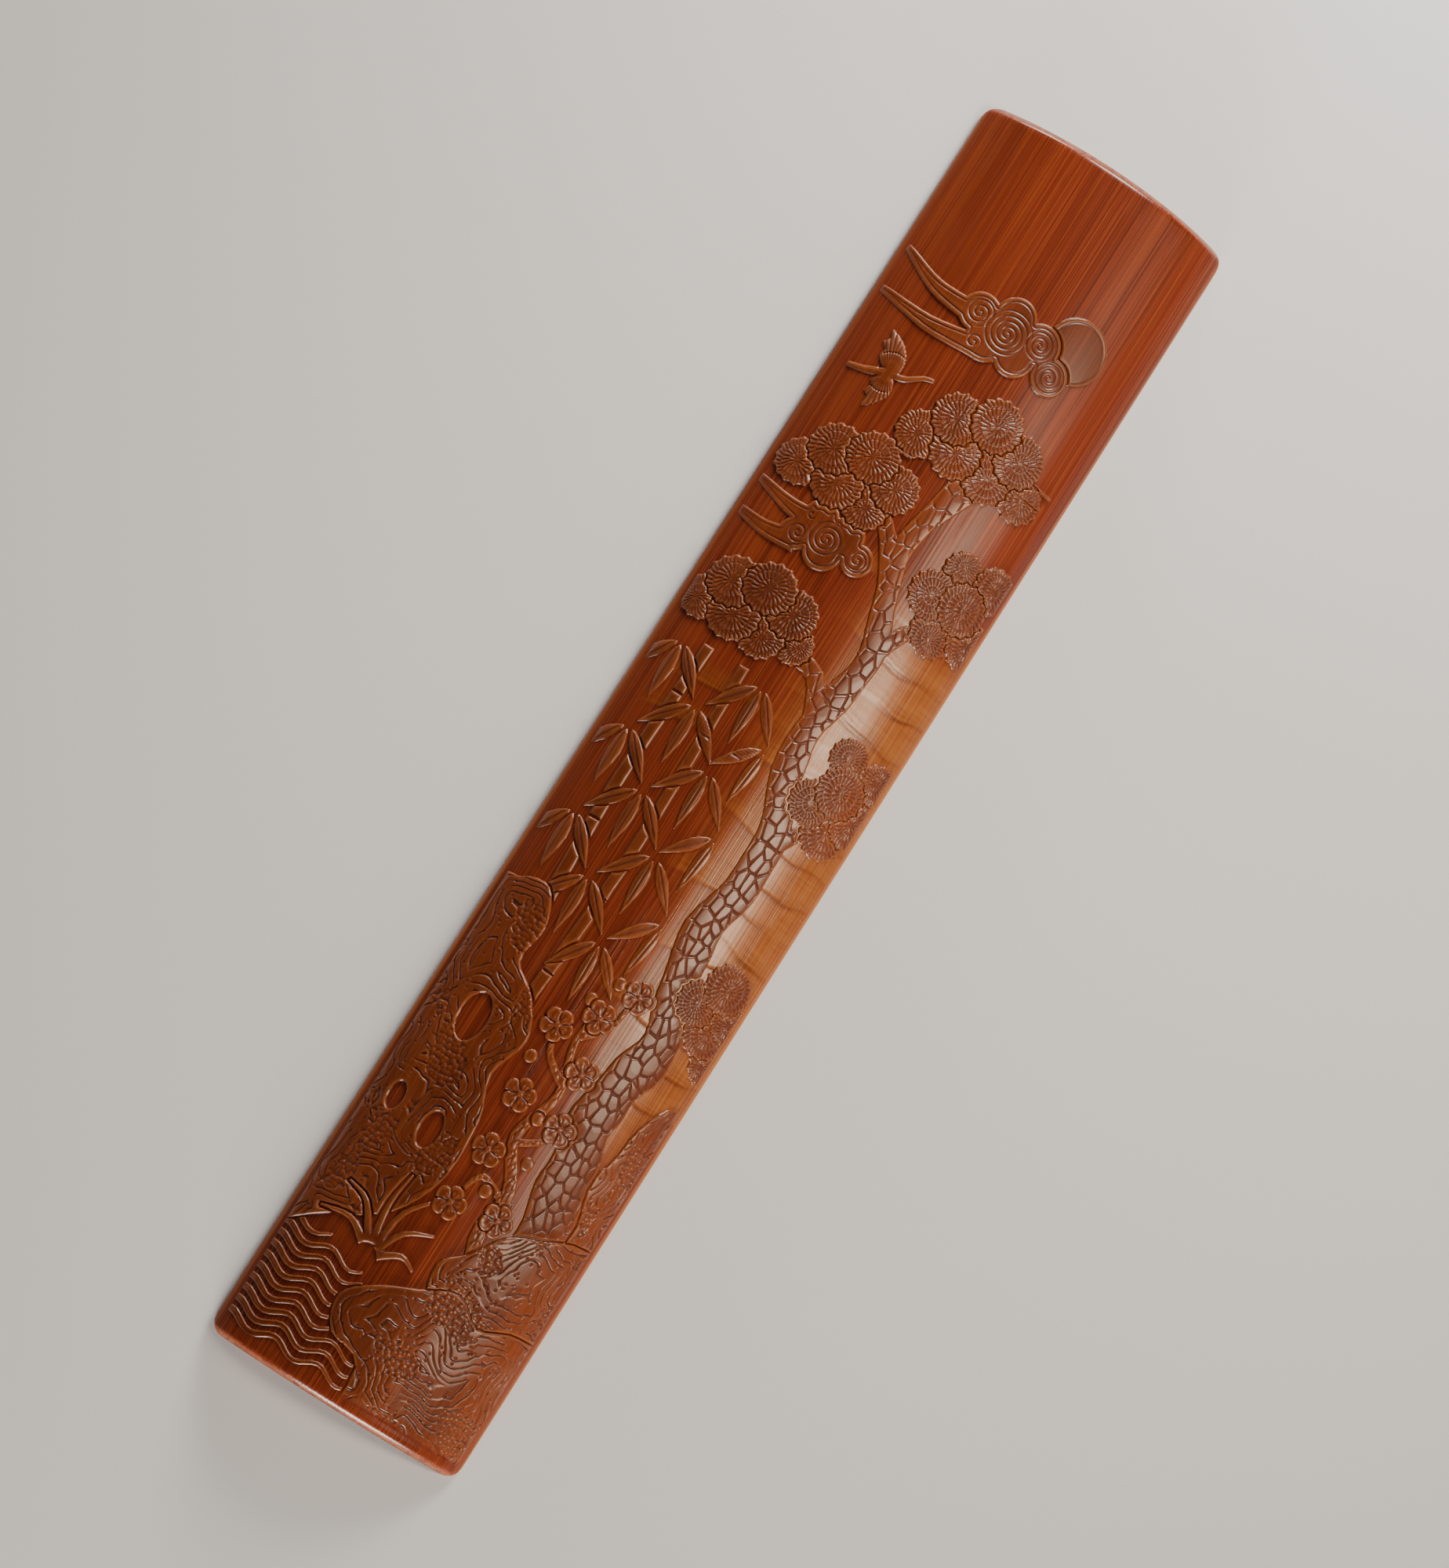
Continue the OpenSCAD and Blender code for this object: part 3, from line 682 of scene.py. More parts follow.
def carve_leaf(around, lengthwise, depth_in, outline, seed):
    """A leaf with a cut midrib along its longest axis, one half higher, and fine ribs."""
    ends = outline.reshape(-1, 2)
    middle = ends.mean(0)
    _, _, axes = np.linalg.svd(ends - middle, full_matrices=False)
    side = (around - middle[0]) * axes[1][0] + (lengthwise - middle[1]) * axes[1][1]
    height = standing_edge(depth_in, KEPT * (0.62 + 0.38 * ease(0, 1.1, depth_in)))
    height += groove(side, width=0.13, depth=STROKE) * ease(0.15, 0.6, depth_in)
    return height + 0.07 * SKIN * np.tanh(side * 2) + 0.04 * SKIN * np.cos(2 * math.pi * side / LEAF_RIB)


print(f"leaf ribs lie {LEAF_RIB} mm apart")

# %% [markdown]
# ## Plum
# A blossom has five cupped petals round a button with stamens, and the twig under it has cracked bark. The
# petals could be five copies of one mesh. Here one formula in the angle round the blossom draws all five at
# once, turned so that they meet the petals of the solid's outline.

# %% Plum
PETALS = 5
STAMENS = 15


def carve_blossom(around, lengthwise, depth_in, outline, seed):
    """Cupped petals with a seam between each two, stamens with a knob at the tip, and a round button."""
    ends = outline.reshape(-1, 2)
    middle = (ends.min(0) + ends.max(0)) / 2
    reach, bearing = np.hypot(*(ends - middle).T), np.arctan2(*(ends - middle).T[::-1])
    phase = np.angle(np.sum(reach * np.exp(-1j * PETALS * bearing))) / PETALS
    out = np.hypot(around - middle[0], lengthwise - middle[1])
    angle = np.arctan2(lengthwise - middle[1], around - middle[0])
    petal = (angle + phase) * PETALS / (2 * math.pi)
    within = abs(petal - np.round(petal)) * 2
    seam = out * np.sin((1 - within) * math.pi / PETALS)
    height = standing_edge(depth_in, KEPT * (0.70 + 0.30 * (1 - ease(0.0, 0.75, depth_in))))
    height += 0.18 * SKIN * ease(0.4, 1.6, out) * (1 - within)
    height += groove(seam, width=0.14, depth=STROKE) * ease(0.5, 0.9, out)
    stamen = np.cos(STAMENS * angle) * 0.5 + 0.5
    height += 0.14 * SKIN * stamen * ease(0.5, 0.7, out) * (1 - ease(1.4, 1.6, out))
    height += 0.2 * SKIN * stamen ** 2 * np.exp(-((out - 1.65) / 0.2) ** 2)
    return height + 0.3 * SKIN * (1 - ease(0.35, 0.6, out))


TWIG_PLATE = (0.9, 2.2)


def carve_wood(around, lengthwise, depth_in, outline, seed):
    """A rounded twig with shallow cracks in its bark."""
    height = carve_round(around, lengthwise, depth_in, outline, seed)
    first, second, _, _ = scatter(around, lengthwise, *TWIG_PLATE, seed)
    crack = (second - first) * TWIG_PLATE[0] / 2
    return height + groove(crack, width=0.12, depth=0.4 * STROKE) * ease(0.1, 0.4, depth_in)


print(f"each blossom has {PETALS} petals and {STAMENS} stamens")

# %% [markdown]
# ## Sky and water
# Clouds are ribbons of skin with scrolls, the moon is a shallow dome with a ring cut near its rim, the
# crane has ruled feathers, and a ripple is a low ribbon with a fine line near each edge. Scrolls could be
# curves that are projected onto the culm. A spiral is as easy to write as a distance, and then it can't
# miss the face.

# %% Sky and water
COIL_PITCH = 1.05
MOST_COILS = 9
LEAST_ROOM = 1.8


def carve_ripple(around, lengthwise, depth_in, outline, seed):
    """A low flat ribbon with one fine line near each edge."""
    height = standing_edge(depth_in, 0.62 * KEPT)
    return height + groove(depth_in - 0.34, width=0.1, depth=0.6 * STROKE)


def carve_cloud(around, lengthwise, depth_in, outline, seed):
    """A ribbon that thins towards the sides, with a line inside its edge and scrolls where there is room."""
    fade = ease(13, 24, abs(around)) * 0.6
    height = standing_edge(depth_in, KEPT * (0.95 - fade - 0.2 * ease(0.6, 3.0, depth_in)))
    height += groove(depth_in - 0.75, width=0.13, depth=0.7 * STROKE) * (1 - fade)
    left = depth_in.copy()
    for lobe in range(MOST_COILS):
        top = int(np.argmax(left))
        room = left[top]
        if room < LEAST_ROOM:
            break
        out = np.hypot(around - around[top], lengthwise - lengthwise[top])
        angle = np.arctan2(lengthwise - lengthwise[top], (around - around[top]) * (1 if lobe % 2 else -1))
        coil = out / COIL_PITCH - angle / (2 * math.pi)
        line = (coil - np.round(coil)) * COIL_PITCH
        inside = 1 - ease(room - 1.1, room - 0.8, out)
        height += groove(line, width=0.14, depth=0.7 * STROKE) * inside
        left[out < room + 0.9] = 0
    return height


def carve_moon(around, lengthwise, depth_in, outline, seed):
    """A shallow dome with one ring cut near its rim."""
    middle, radius = disc_of(outline)
    out = np.hypot(around - middle[0], lengthwise - middle[1])
    height = standing_edge(depth_in, KEPT * (1.05 - 0.2 * (out / radius) ** 2))
    return height + groove(radius - out - 0.8, width=0.12, depth=0.5 * STROKE)


FEATHERS = 44
COVERTS = 0.26


def carve_crane(around, lengthwise, depth_in, outline, seed):
    """A bird with ruled feathers on its wings, and a line where the short feathers end."""
    ends = outline.reshape(-1, 2)
    middle = (ends.min(0) + ends.max(0)) / 2
    span = np.ptp(ends[:, 1])
    out = np.hypot(around - middle[0], lengthwise - middle[1]) / span
    angle = np.arctan2(lengthwise - middle[1], around - middle[0])
    wing = ease(0.5, 0.75, abs(np.sin(angle))) * ease(0.12, 0.17, out)
    height = standing_edge(depth_in, KEPT * (0.7 + 0.3 * ease(0, 0.9, depth_in)))
    height += groove(out * span - COVERTS * span, width=0.13, depth=0.7 * STROKE) * wing
    return height - 0.8 * STROKE * (0.5 - 0.5 * np.cos(FEATHERS * angle)) ** 2 * wing


print(f"cloud scrolls have a pitch of {COIL_PITCH} mm, and {FEATHERS} feathers make a full turn")

# %% [markdown]
# ## From a depth map to a closed mesh
# Grid squares that lie wholly inside the carved edge become faces. The border of that patch is drawn down
# under the bare face and filled, so each piece is a closed solid, as the export wants. A solidify modifier
# would close it too, but it would copy all the relief onto the unseen side. Two marks go with the points:
# how far each stands above the bare face, and whether it sits in a hollow or on a ridge, which later steers
# colour, with painted shade in hollows and a painted highlight on ridges, and polish.

# %% Where the picture fades out
SINK = 0.08
SIDE_FADE = (0.6, 3.0)
END_FADE = (1.8, 4.6)


def faded(around, lengthwise, height):
    """Lets the relief sink into the bare face along the sides and at the ends, as worn carving does."""
    side = ease(*SIDE_FADE, FACE_HALF - abs(around))
    end = ease(*END_FADE, HALF_LENGTH - abs(lengthwise))
    return side * end * (height + SINK) - SINK


print(f"the picture fades over the last {SIDE_FADE[1]} mm at the sides and {END_FADE[1]} mm at the ends")

# %% One island as a patch
UNDER_FACE = 0.35
SKIRT = 0.05
HEADROOM = 0.01
RELIEF_BLUR = 3
HOLLOW_SCALE = 0.12


def carved_patch(outline, carve, seed):
    """Points, faces and marks of one island."""
    a, b, depth_in = distances(outline)
    kept = depth_in > -EDGE_REACH
    height = np.full(a.shape, SKIN - EDGE_REACH * EDGE_SLOPE)
    carved = np.minimum(carve(a[kept], b[kept], depth_in[kept], outline, seed), SKIN - HEADROOM)
    height[kept] = faded(a[kept], b[kept], carved)
    # hollow marks grooves and ridges, which later get painted shade and a painted highlight
    hollow = np.clip((blurred(height, RELIEF_BLUR) - height) / HOLLOW_SCALE, -1, 1)
    quad = kept[:-1, :-1] & kept[1:, :-1] & kept[1:, 1:] & kept[:-1, 1:]
    i, j = np.nonzero(quad)
    number = np.arange(a.size).reshape(a.shape)
    faces = np.column_stack([number[i, j], number[i + 1, j], number[i + 1, j + 1], number[i, j + 1]])
    used, faces = np.unique(faces, return_inverse=True)
    faces = faces.reshape(-1, 4)
    edges = np.concatenate([faces[:, [k, (k + 1) % 4]] for k in range(4)])
    backward = set(map(tuple, edges[:, ::-1]))
    rim = np.array([e for e in map(tuple, edges) if e not in backward])
    ring, rim_index = np.unique(rim, return_inverse=True)
    rim_index = rim_index.reshape(-1, 2) + len(used)
    skirt = np.column_stack([rim[:, 1], rim[:, 0], rim_index[:, 0], rim_index[:, 1]])
    around, lengthwise = a.ravel()[used], b.ravel()[used]
    lift = np.maximum(height.ravel()[used], SKIRT - UNDER_FACE)
    points = np.concatenate([
        to_space(around, lengthwise, lift),
        to_space(around[ring], lengthwise[ring], np.full(len(ring), -UNDER_FACE)),
    ])
    marks = {
        "lift": np.concatenate([lift, np.full(len(ring), -UNDER_FACE)]),
        "hollow": np.concatenate([hollow.ravel()[used], np.zeros(len(ring))]),
    }
    return points, np.concatenate([faces, skirt]), marks


print(f"each island is closed {UNDER_FACE} mm under the bare face")


# %% A mesh from lists of points and faces
def new_piece(name, points, faces, marks=None):
    """A smooth mesh object from points in millimetres. Faces is a list of arrays of corner numbers."""
    mesh = bpy.data.meshes.new(name)
    mesh.vertices.add(len(points))
    mesh.vertices.foreach_set("co", (points * MM).astype(np.float32).ravel())
    counts = np.concatenate([np.full(len(f), f.shape[1]) for f in faces])
    corners = np.concatenate([f.ravel() for f in faces])
    mesh.loops.add(len(corners))
    mesh.loops.foreach_set("vertex_index", corners.astype(np.int32))
    mesh.polygons.add(len(counts))
    starts = np.concatenate([[0], np.cumsum(counts)[:-1]])
    mesh.polygons.foreach_set("loop_start", starts.astype(np.int32))
    mesh.update(calc_edges=True)
    mesh.shade_smooth()
    for kind, values in (marks or {}).items():
        layer = mesh.attributes.new(kind, "FLOAT", "POINT")
        layer.data.foreach_set("value", values.astype(np.float32))
    piece = bpy.data.objects.new(name, mesh)
    bpy.context.scene.collection.objects.link(piece)
    return piece


print("meshes can be made from lists")

# %% One carved piece
STRIP = 2.5
SEEDS_PER_ISLAND = 17


def close_underside(piece, island_starts):
    """Fills the open border of each island, and bends the filling round the culm in narrow strips."""
    work = bmesh.new()
    work.from_mesh(piece.data)
    borders = {}
    for edge in work.edges:
        if edge.is_boundary:
            island = int(np.searchsorted(island_starts, edge.verts[0].index, side="right"))
            borders.setdefault(island, []).append(edge)
    filling = set()
    for border in borders.values():
        made = bmesh.ops.triangle_fill(work, edges=border, use_beauty=False, normal=(0, 0, -1))["geom"]
        for face in made:
            if isinstance(face, bmesh.types.BMFace):
                filling.update([face, *face.edges, *face.verts])
    geom = list(filling)
    middle = Vector((0, 0, AXIS_Z * MM))
    for around in np.arange(-FACE_HALF, FACE_HALF, STRIP):
        angle = around / CULM_R
        outward = Vector((math.sin(angle), 0, math.cos(angle)))
        sideways = (math.cos(angle), 0, -math.sin(angle))
        cut = bmesh.ops.bisect_plane(work, geom=geom, plane_co=middle, plane_no=sideways)
        geom = cut["geom"]
        for corner in cut["geom_cut"]:
            if isinstance(corner, bmesh.types.BMVert):
                corner.co = middle + outward * (CULM_R - UNDER_FACE) * MM + Vector((0, corner.co.y, 0))
    work.to_mesh(piece.data)
    left = sum(1 for e in work.edges if not e.is_manifold)
    work.free()
    return left


def carved_piece(node, carve, seed):
    """One mesh for all the islands of a skin solid."""
    points, faces, marks, starts = [], [], {"lift": [], "hollow": []}, [0]
    for k, outline in enumerate(OUTLINES[node]):
        patch, patch_faces, patch_marks = carved_patch(outline, carve, seed + SEEDS_PER_ISLAND * k)
        points.append(patch)
        faces.append(patch_faces + starts[-1])
        starts.append(starts[-1] + len(patch))
        for kind in marks:
            marks[kind].append(patch_marks[kind])
    joined = {kind: np.concatenate(values) for kind, values in marks.items()}
    piece = new_piece("carved_" + node, np.concatenate(points), [np.concatenate(faces)], joined)
    open_edges = close_underside(piece, starts)
    print(f"{piece.name}: {len(piece.data.polygons)} faces, {open_edges} open edges")
    return piece


print(f"the underside is bent round the culm in strips of {STRIP} mm")

# %% [markdown]
# ## Carving the picture
# Now each skin solid is handed to its carver. The solids could be joined into one picture, but each motif
# is an island of skin on the real rest too. The piece replaces the solid, which stays hidden in the frame,
# and rides on the one body that the rest has.

# %% Every motif
SEEDS_PER_PIECE = 100
MOTIFS = {
    carve_rock: ("garden_rock", "rock_bank", "rock_behind_pine"),
    carve_bark: ("pine_trunk",),
    carve_spray: ("pine_crown", "pine_spray_upper_right", "pine_spray_upper_left", "pine_spray_left",
                  "pine_spray_right", "pine_spray_low"),
    carve_round: ("bamboo_cane_left", "bamboo_cane_right", "orchid_tuft", "plum_buds"),
    carve_leaf: ("bamboo_leaves_high", "bamboo_leaves_low"),
    carve_wood: ("plum_branch",),
    carve_blossom: ("plum_blossoms",),
    carve_cloud: ("cloud_upper", "cloud_middle"),
    carve_moon: ("moon_disc",),
    carve_crane: ("flying_crane",),
    carve_ripple: ("water_ripples",),
}
CARVERS = {node: carve for carve, nodes in MOTIFS.items() for node in nodes}
skin_pieces = []
for place, node in enumerate(SKIN_NODES):
    piece = carved_piece(node, CARVERS[node], SEEDS_PER_PIECE * place)
    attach(piece, "root")
    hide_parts(node)
    skin_pieces.append(piece)
print("faces in the picture:", sum(len(p.data.polygons) for p in skin_pieces))

# %% [markdown]
# ## The fibre wall
# The wall is a slice of a tube. It could be cut with booleans, but its edges should be soft from years of
# handling, so it is lofted: the same ring of points, outer face, rounded edge, planed foot and hollow back,
# is placed at each station along the culm. Near the two ends the ring shrinks, which bevels the rims and
# rounds the corners, and a last ring, a little inside, lets each cut end shade as a flat face.

# %% One section of the wall
RIM_BEVEL = 1.4
BEVEL_POWER = 1.35
CORNER_ROUND = 3.0
EDGE_ROUND = 0.9
FOOT_ROUND = 0.3
ARC_POINTS = 129
HOLLOW_POINTS = 31
EDGE_POINTS = 6
HEEL_POINTS = 4
SOLE_POINTS = 8


def quarter(radius, distance):
    """How far a rounded corner of some radius has drawn back at a distance from its start."""
    left = np.clip(radius - distance, 0, radius)
    return radius - math.sqrt(radius * radius - left * left)


def bevel(width, distance):
    """How far a bevel with softened edges has drawn back at a distance from the end."""
    left = np.clip(1 - distance / width, 0, 1)
    return width * (1 - (1 - left ** BEVEL_POWER) ** (1 / BEVEL_POWER))


def bow(radius, angles, hub_x, hub_z):
    """Points on an arc, as x and z, at angles that are measured from straight up."""
    return np.column_stack([hub_x + radius * np.sin(angles), hub_z + radius * np.cos(angles)])


def wall_ring(from_end, inset):
    """One section, as x and z, from the right end of the outer face round to the start again."""
    draw_in = bevel(RIM_BEVEL, from_end) + inset
    outer, inner = CULM_R - draw_in, HOLLOW_R + draw_in
    wide = HALF_WIDTH - quarter(CORNER_ROUND, from_end) - inset
    hub_x = wide - EDGE_ROUND
    hub_z = AXIS_Z + math.sqrt((outer - EDGE_ROUND) ** 2 - hub_x ** 2)
    lean = math.atan2(hub_x, hub_z - AXIS_Z)
    face = bow(outer, np.linspace(lean, -lean, ARC_POINTS), 0, AXIS_Z)
    edge = bow(EDGE_ROUND, np.linspace(math.pi / 2, lean, EDGE_POINTS)[:-1], hub_x, hub_z)
    foot_x = wide - FOOT_ROUND
    heel = bow(FOOT_ROUND, np.linspace(math.pi, math.pi / 2, HEEL_POINTS), foot_x, inset + FOOT_ROUND)
    toe_x = math.sqrt(inner ** 2 - (inset - AXIS_Z) ** 2)
    sole_x = np.linspace(toe_x, foot_x, SOLE_POINTS)[1:-1]
    sole = np.column_stack([sole_x, np.full(len(sole_x), inset)])
    right_side = np.concatenate([sole, heel, edge])
    left_side = right_side[::-1] * [-1, 1]
    spread = math.asin(toe_x / inner)
    hollow = bow(inner, np.linspace(-spread, spread, HOLLOW_POINTS), 0, AXIS_Z)
    return np.concatenate([face, left_side, hollow, right_side])


RING = len(wall_ring(HALF_LENGTH, 0))
print("a section has", RING, "points")

# %% Stations along the wall
CAP_INSET = 0.1
END_STATIONS = np.array([0, 0.04, 0.12, 0.26, 0.45, 0.7, 1.0, 1.4, 2.0, 3.0])
STATIONS_FROM, STATIONS_STOP = 4, 3.5
STATION_STEP = 0.9
MISTY_STEP = 0.42
MISTY_FROM, MISTY_TO = -72, 60
inner_stations = np.concatenate([
    np.arange(STATIONS_FROM, HALF_LENGTH + MISTY_FROM, STATION_STEP),
    np.arange(HALF_LENGTH + MISTY_FROM, HALF_LENGTH + MISTY_TO, MISTY_STEP),
    np.arange(HALF_LENGTH + MISTY_TO, REST_LENGTH - STATIONS_STOP, STATION_STEP),
])
far_stations = REST_LENGTH - END_STATIONS[::-1]
from_start = np.concatenate([[0], END_STATIONS, inner_stations, far_stations, [REST_LENGTH]])
insets = np.zeros(len(from_start))
insets[[0, -1]] = CAP_INSET
rings = [wall_ring(min(e, REST_LENGTH - e), inset) for e, inset in zip(from_start, insets)]
points = np.concatenate([
    np.column_stack([ring[:, 0], np.full(RING, e - HALF_LENGTH), ring[:, 1]])
    for ring, e in zip(rings, from_start)
])
print("wall sections:", len(rings))

# %% [markdown]
# ## Mist and the marks of the scraper
# Between the motifs the carver scrapes the skin thinner and thinner instead of cutting it clean away, so
# soft bands of it hang like mist, with one crisp lower edge. The bare face also keeps a faint waviness from
# hand scraping, which breaks up the long highlights. Bump alone could fake both, but then the exported mesh
# would be smooth, so the points of the wall are moved.

# %% The mist
MIST_HEIGHT = 0.18
VEIL_SHARE = 0.55
WISP_SHARE = 0.45
EDGE_SHARE = 0.3
# Where the veil comes in and goes out along the culm, and where it comes in round it, in millimetres
VEIL_IN = (-72, -46)
VEIL_OUT = (26, 58)
VEIL_SIDE = (-4, 13)
# Each wisp: its middle round and along the culm, and its half width, in millimetres
WISPS = [
    (17, -58, 10), (21, -51, 8), (14, -45, 12), (20, -38, 9), (16, -31, 13), (22, -26, 8), (12, -19, 12),
    (19, -13, 10), (15, -6, 14), (22, 0, 8), (13, 7, 13), (20, 13, 9), (16, 20, 13), (21, 27, 9),
    (15, 34, 12), (20, 42, 8), (-12, 12, 9), (-16, 4, 7), (-4, 46, 8),
]
# Each strand of a wisp: how far it runs above the lower edge, in millimetres, and how deep it is cut and how
# dark its painted shade is
STRANDS = [(-0.1, 1.0), (1.1, 0.6), (2.1, 0.4)]
STRAND_WIDTH = 0.4
WISP_RISE = (-0.2, 0.5)
WISP_FALL = (0.3, 6.0)


def mist(around, lengthwise):
    """The height of the thinned skin, a broad veil on the right and wisps, and the wisps' crisp edges, which
    are cut in and also darkened with painted shade.
    """
    stray = 2.5 * waves(around, lengthwise * 0.6, 24, 5)
    ends = ease(*VEIL_IN, lengthwise + 2 * stray) * (1 - ease(*VEIL_OUT, lengthwise + 2 * stray))
    veil = ease(*VEIL_SIDE, around + stray) * ends
    total, edges = VEIL_SHARE * veil, np.zeros_like(around)
    for k, (mid, low, wide) in enumerate(WISPS):
        lean = 0.04 * math.sin(2.1 * k) * (around - mid)
        wander = low + lean + 0.6 * np.sin(around / 4.3 + k) + 0.22 * np.sin(around / 1.6 + 2.3 * k)
        above = lengthwise - wander
        share = np.exp(-((around - mid) / wide) ** 2)
        band = share * ease(*WISP_RISE, above) * (1 - ease(*WISP_FALL, above))
        total = np.maximum(total, VEIL_SHARE * veil + WISP_SHARE * band)
        spread = 1 + 0.7 * np.tanh((mid - around) / wide)
        for lag, strength in STRANDS:
            line = np.exp(-((above - lag * spread) / STRAND_WIDTH) ** 2)
            edges = np.maximum(edges, strength * share ** 2 * line)
    return MIST_HEIGHT * (total - EDGE_SHARE * edges), edges


print(len(WISPS), "wisps of", len(STRANDS), "strands each")

# %% Moving the points of the bare face
SCRAPE = 0.035
SCRAPE_ENDS = (2, 8)
SCRAPE_SIDES = (0.5, 3)
FACE_SLACK = 0.02
PLAIN_ENDS = 2
sheet = to_sheet(points)
on_face = (sheet[:, 2] > -FACE_SLACK) & (abs(sheet[:, 1]) < HALF_LENGTH - PLAIN_ENDS)
# The wisps' cut lines are also kept as a mark, which darkens them with painted shade
lift, painted_line_shade = np.zeros(len(points)), np.zeros(len(points))
lift[on_face], painted_line_shade[on_face] = mist(sheet[on_face, 0], sheet[on_face, 1])
from_ends = ease(*SCRAPE_ENDS, HALF_LENGTH - abs(sheet[:, 1]))
away = from_ends * ease(*SCRAPE_SIDES, HALF_WIDTH - abs(points[:, 0]))
scraped = -SCRAPE * (1 + waves(sheet[:, 0], sheet[:, 1] * 0.09, 6.5, 11)) * away * on_face
shaped = to_space(sheet[:, 0], sheet[:, 1], sheet[:, 2] + lift + scraped)
points = np.where(on_face[:, None], shaped, points)
print("mist stands up to", round(float(lift.max()), 2), "mm above the bare face")

# %% Building the wall
WEAR_AND_HIGHLIGHT_REACH = (0.1, 1.1)
WEAR_AND_HIGHLIGHT_DEPTH = 2.5
CUT_REACH = (0.05, 0.6)
row, column = np.meshgrid(np.arange(len(rings) - 1) * RING, np.arange(RING), indexing="ij")
beside = (column + 1) % RING
quads = np.stack([row + RING + column, row + RING + beside, row + beside, row + column], -1).reshape(-1, 4)
to_edge = np.minimum(HALF_WIDTH - abs(points[:, 0]), HALF_LENGTH - abs(points[:, 1]))
# The rims are worn paler by handling, and the same mark also paints them paler as a rim highlight
wear_and_rim_highlight = (1 - ease(*WEAR_AND_HIGHLIGHT_REACH, to_edge)) * (sheet[:, 2] > -WEAR_AND_HIGHLIGHT_DEPTH)
cut_end = 1 - ease(*CUT_REACH, HALF_LENGTH - abs(points[:, 1]))
wall_marks = {"lift": lift, "wear_and_rim_highlight": wear_and_rim_highlight, "hollow": painted_line_shade, "cut_end": cut_end}
wall = new_piece("fibre_wall", points, [quads], wall_marks)
work = bmesh.new()
work.from_mesh(wall.data)
work.verts.ensure_lookup_table()
for first_corner in (0, (len(rings) - 1) * RING):
    work.faces.new([work.verts[first_corner + k] for k in range(RING)])
bmesh.ops.recalc_face_normals(work, faces=work.faces)
open_edges = sum(1 for e in work.edges if not e.is_manifold)
work.to_mesh(wall.data)
work.free()
wall.data.shade_smooth()
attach(wall, "root")
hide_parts("culm_wall")
print("fibre_wall:", len(wall.data.polygons), "faces,", open_edges, "open edges")

# %% [markdown]
# ## The pith
# Inside a culm lies a thin, soft, papery layer. On a wrist rest it is scraped but not polished, so it keeps
# long shallow gouge marks and a ragged edge. It is a thin closed shell that lines the hollow. A solidify
# modifier would give it an even thickness, but scraping leaves it uneven, so both faces are laid out one by
# one.

# %% The shape of the pith
PITH_ACROSS = 90
PITH_ALONG = 260
PITH_OVERLAP = 0.05
RAGGED_SIDES = 0.012
RAGGED_ENDS = 0.002
THIN_RIM = (0, 0.14)
LEAST_SHARE = 0.12
pith_low, pith_high = (np.array(corner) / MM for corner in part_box("pith_lining"))
shares_across, shares_along = np.linspace(-1, 1, PITH_ACROSS), np.linspace(-1, 1, PITH_ALONG)
share_across, share_along = np.meshgrid(shares_across, shares_along, indexing="ij")
edge_angle = math.acos((pith_low[2] + PITH_OVERLAP - AXIS_Z) / HOLLOW_R)
ragged_sides = 1 - RAGGED_SIDES * (1 + waves(share_along * 60, share_across * 3, 9, 21))
ragged_ends = 1 - RAGGED_ENDS * (1 + waves(share_across * 30, share_along * 2, 6, 22))
pith_angle = share_across * edge_angle * ragged_sides
pith_y = share_along * pith_high[1] * ragged_ends
to_rim = np.minimum(1 - abs(share_across), (1 - abs(share_along)) * 6)
wide_gouges = waves(pith_angle * HOLLOW_R, pith_y * 0.07, 4.0, 23)
fine_gouges = waves(pith_angle * HOLLOW_R, pith_y * 0.2, 1.6, 24)
gouges = wide_gouges * 0.5 + fine_gouges * 0.2
fullness = 0.25 + 0.6 * ease(*THIN_RIM, to_rim) + 0.12 * gouges
pith_depth = (HOLLOW_R - PITH_R) * np.clip(fullness, LEAST_SHARE, 1)
print(f"the pith is {pith_depth.min():.2f} to {pith_depth.max():.2f} mm thick")


# %% Building the pith
def pith_face(radius):
    """One face of the lining, at a radius from the culm's axis."""
    x, z = radius * np.sin(pith_angle), AXIS_Z + radius * np.cos(pith_angle)
    return np.stack([x, pith_y, z], -1).reshape(-1, 3)


pith_points = np.concatenate([pith_face(HOLLOW_R + PITH_OVERLAP), pith_face(HOLLOW_R - pith_depth)])
number = np.arange(PITH_ACROSS * PITH_ALONG).reshape(PITH_ACROSS, PITH_ALONG)
squares = np.stack([number[:-1, :-1], number[1:, :-1], number[1:, 1:], number[:-1, 1:]], -1).reshape(-1, 4)
border = np.concatenate([number[:, 0], number[-1, 1:], number[-2::-1, -1], number[0, -2:0:-1]])
ahead = np.roll(border, -1)
below = number.size
rim_faces = np.column_stack([border, border + below, ahead + below, ahead])
pith_faces = [squares, squares[:, ::-1] + below, rim_faces]
pith_marks = {"hollow": np.tile(np.clip(-gouges, -1, 1).ravel(), 2)}
pith = new_piece("pith_layer", pith_points, pith_faces, pith_marks)
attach(pith, "root")
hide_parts("pith_lining")
print("pith_layer:", len(pith.data.polygons), "faces")

# %% [markdown]
# ## Bamboo grain
# Bamboo has no growth rings. It is a bundle of straight fibres that run along the culm. A wood texture with
# rings would look wrong, and a flat one would smear over the ends, so the fine grain is noise that is
# stretched a hundredfold and more along Y, with broader bands and blotches over it. Measured in three
# directions, round, along and through the wall, the same noise draws fine lines on the faces and speckles
# on the cut ends, as real fibre bundles do.

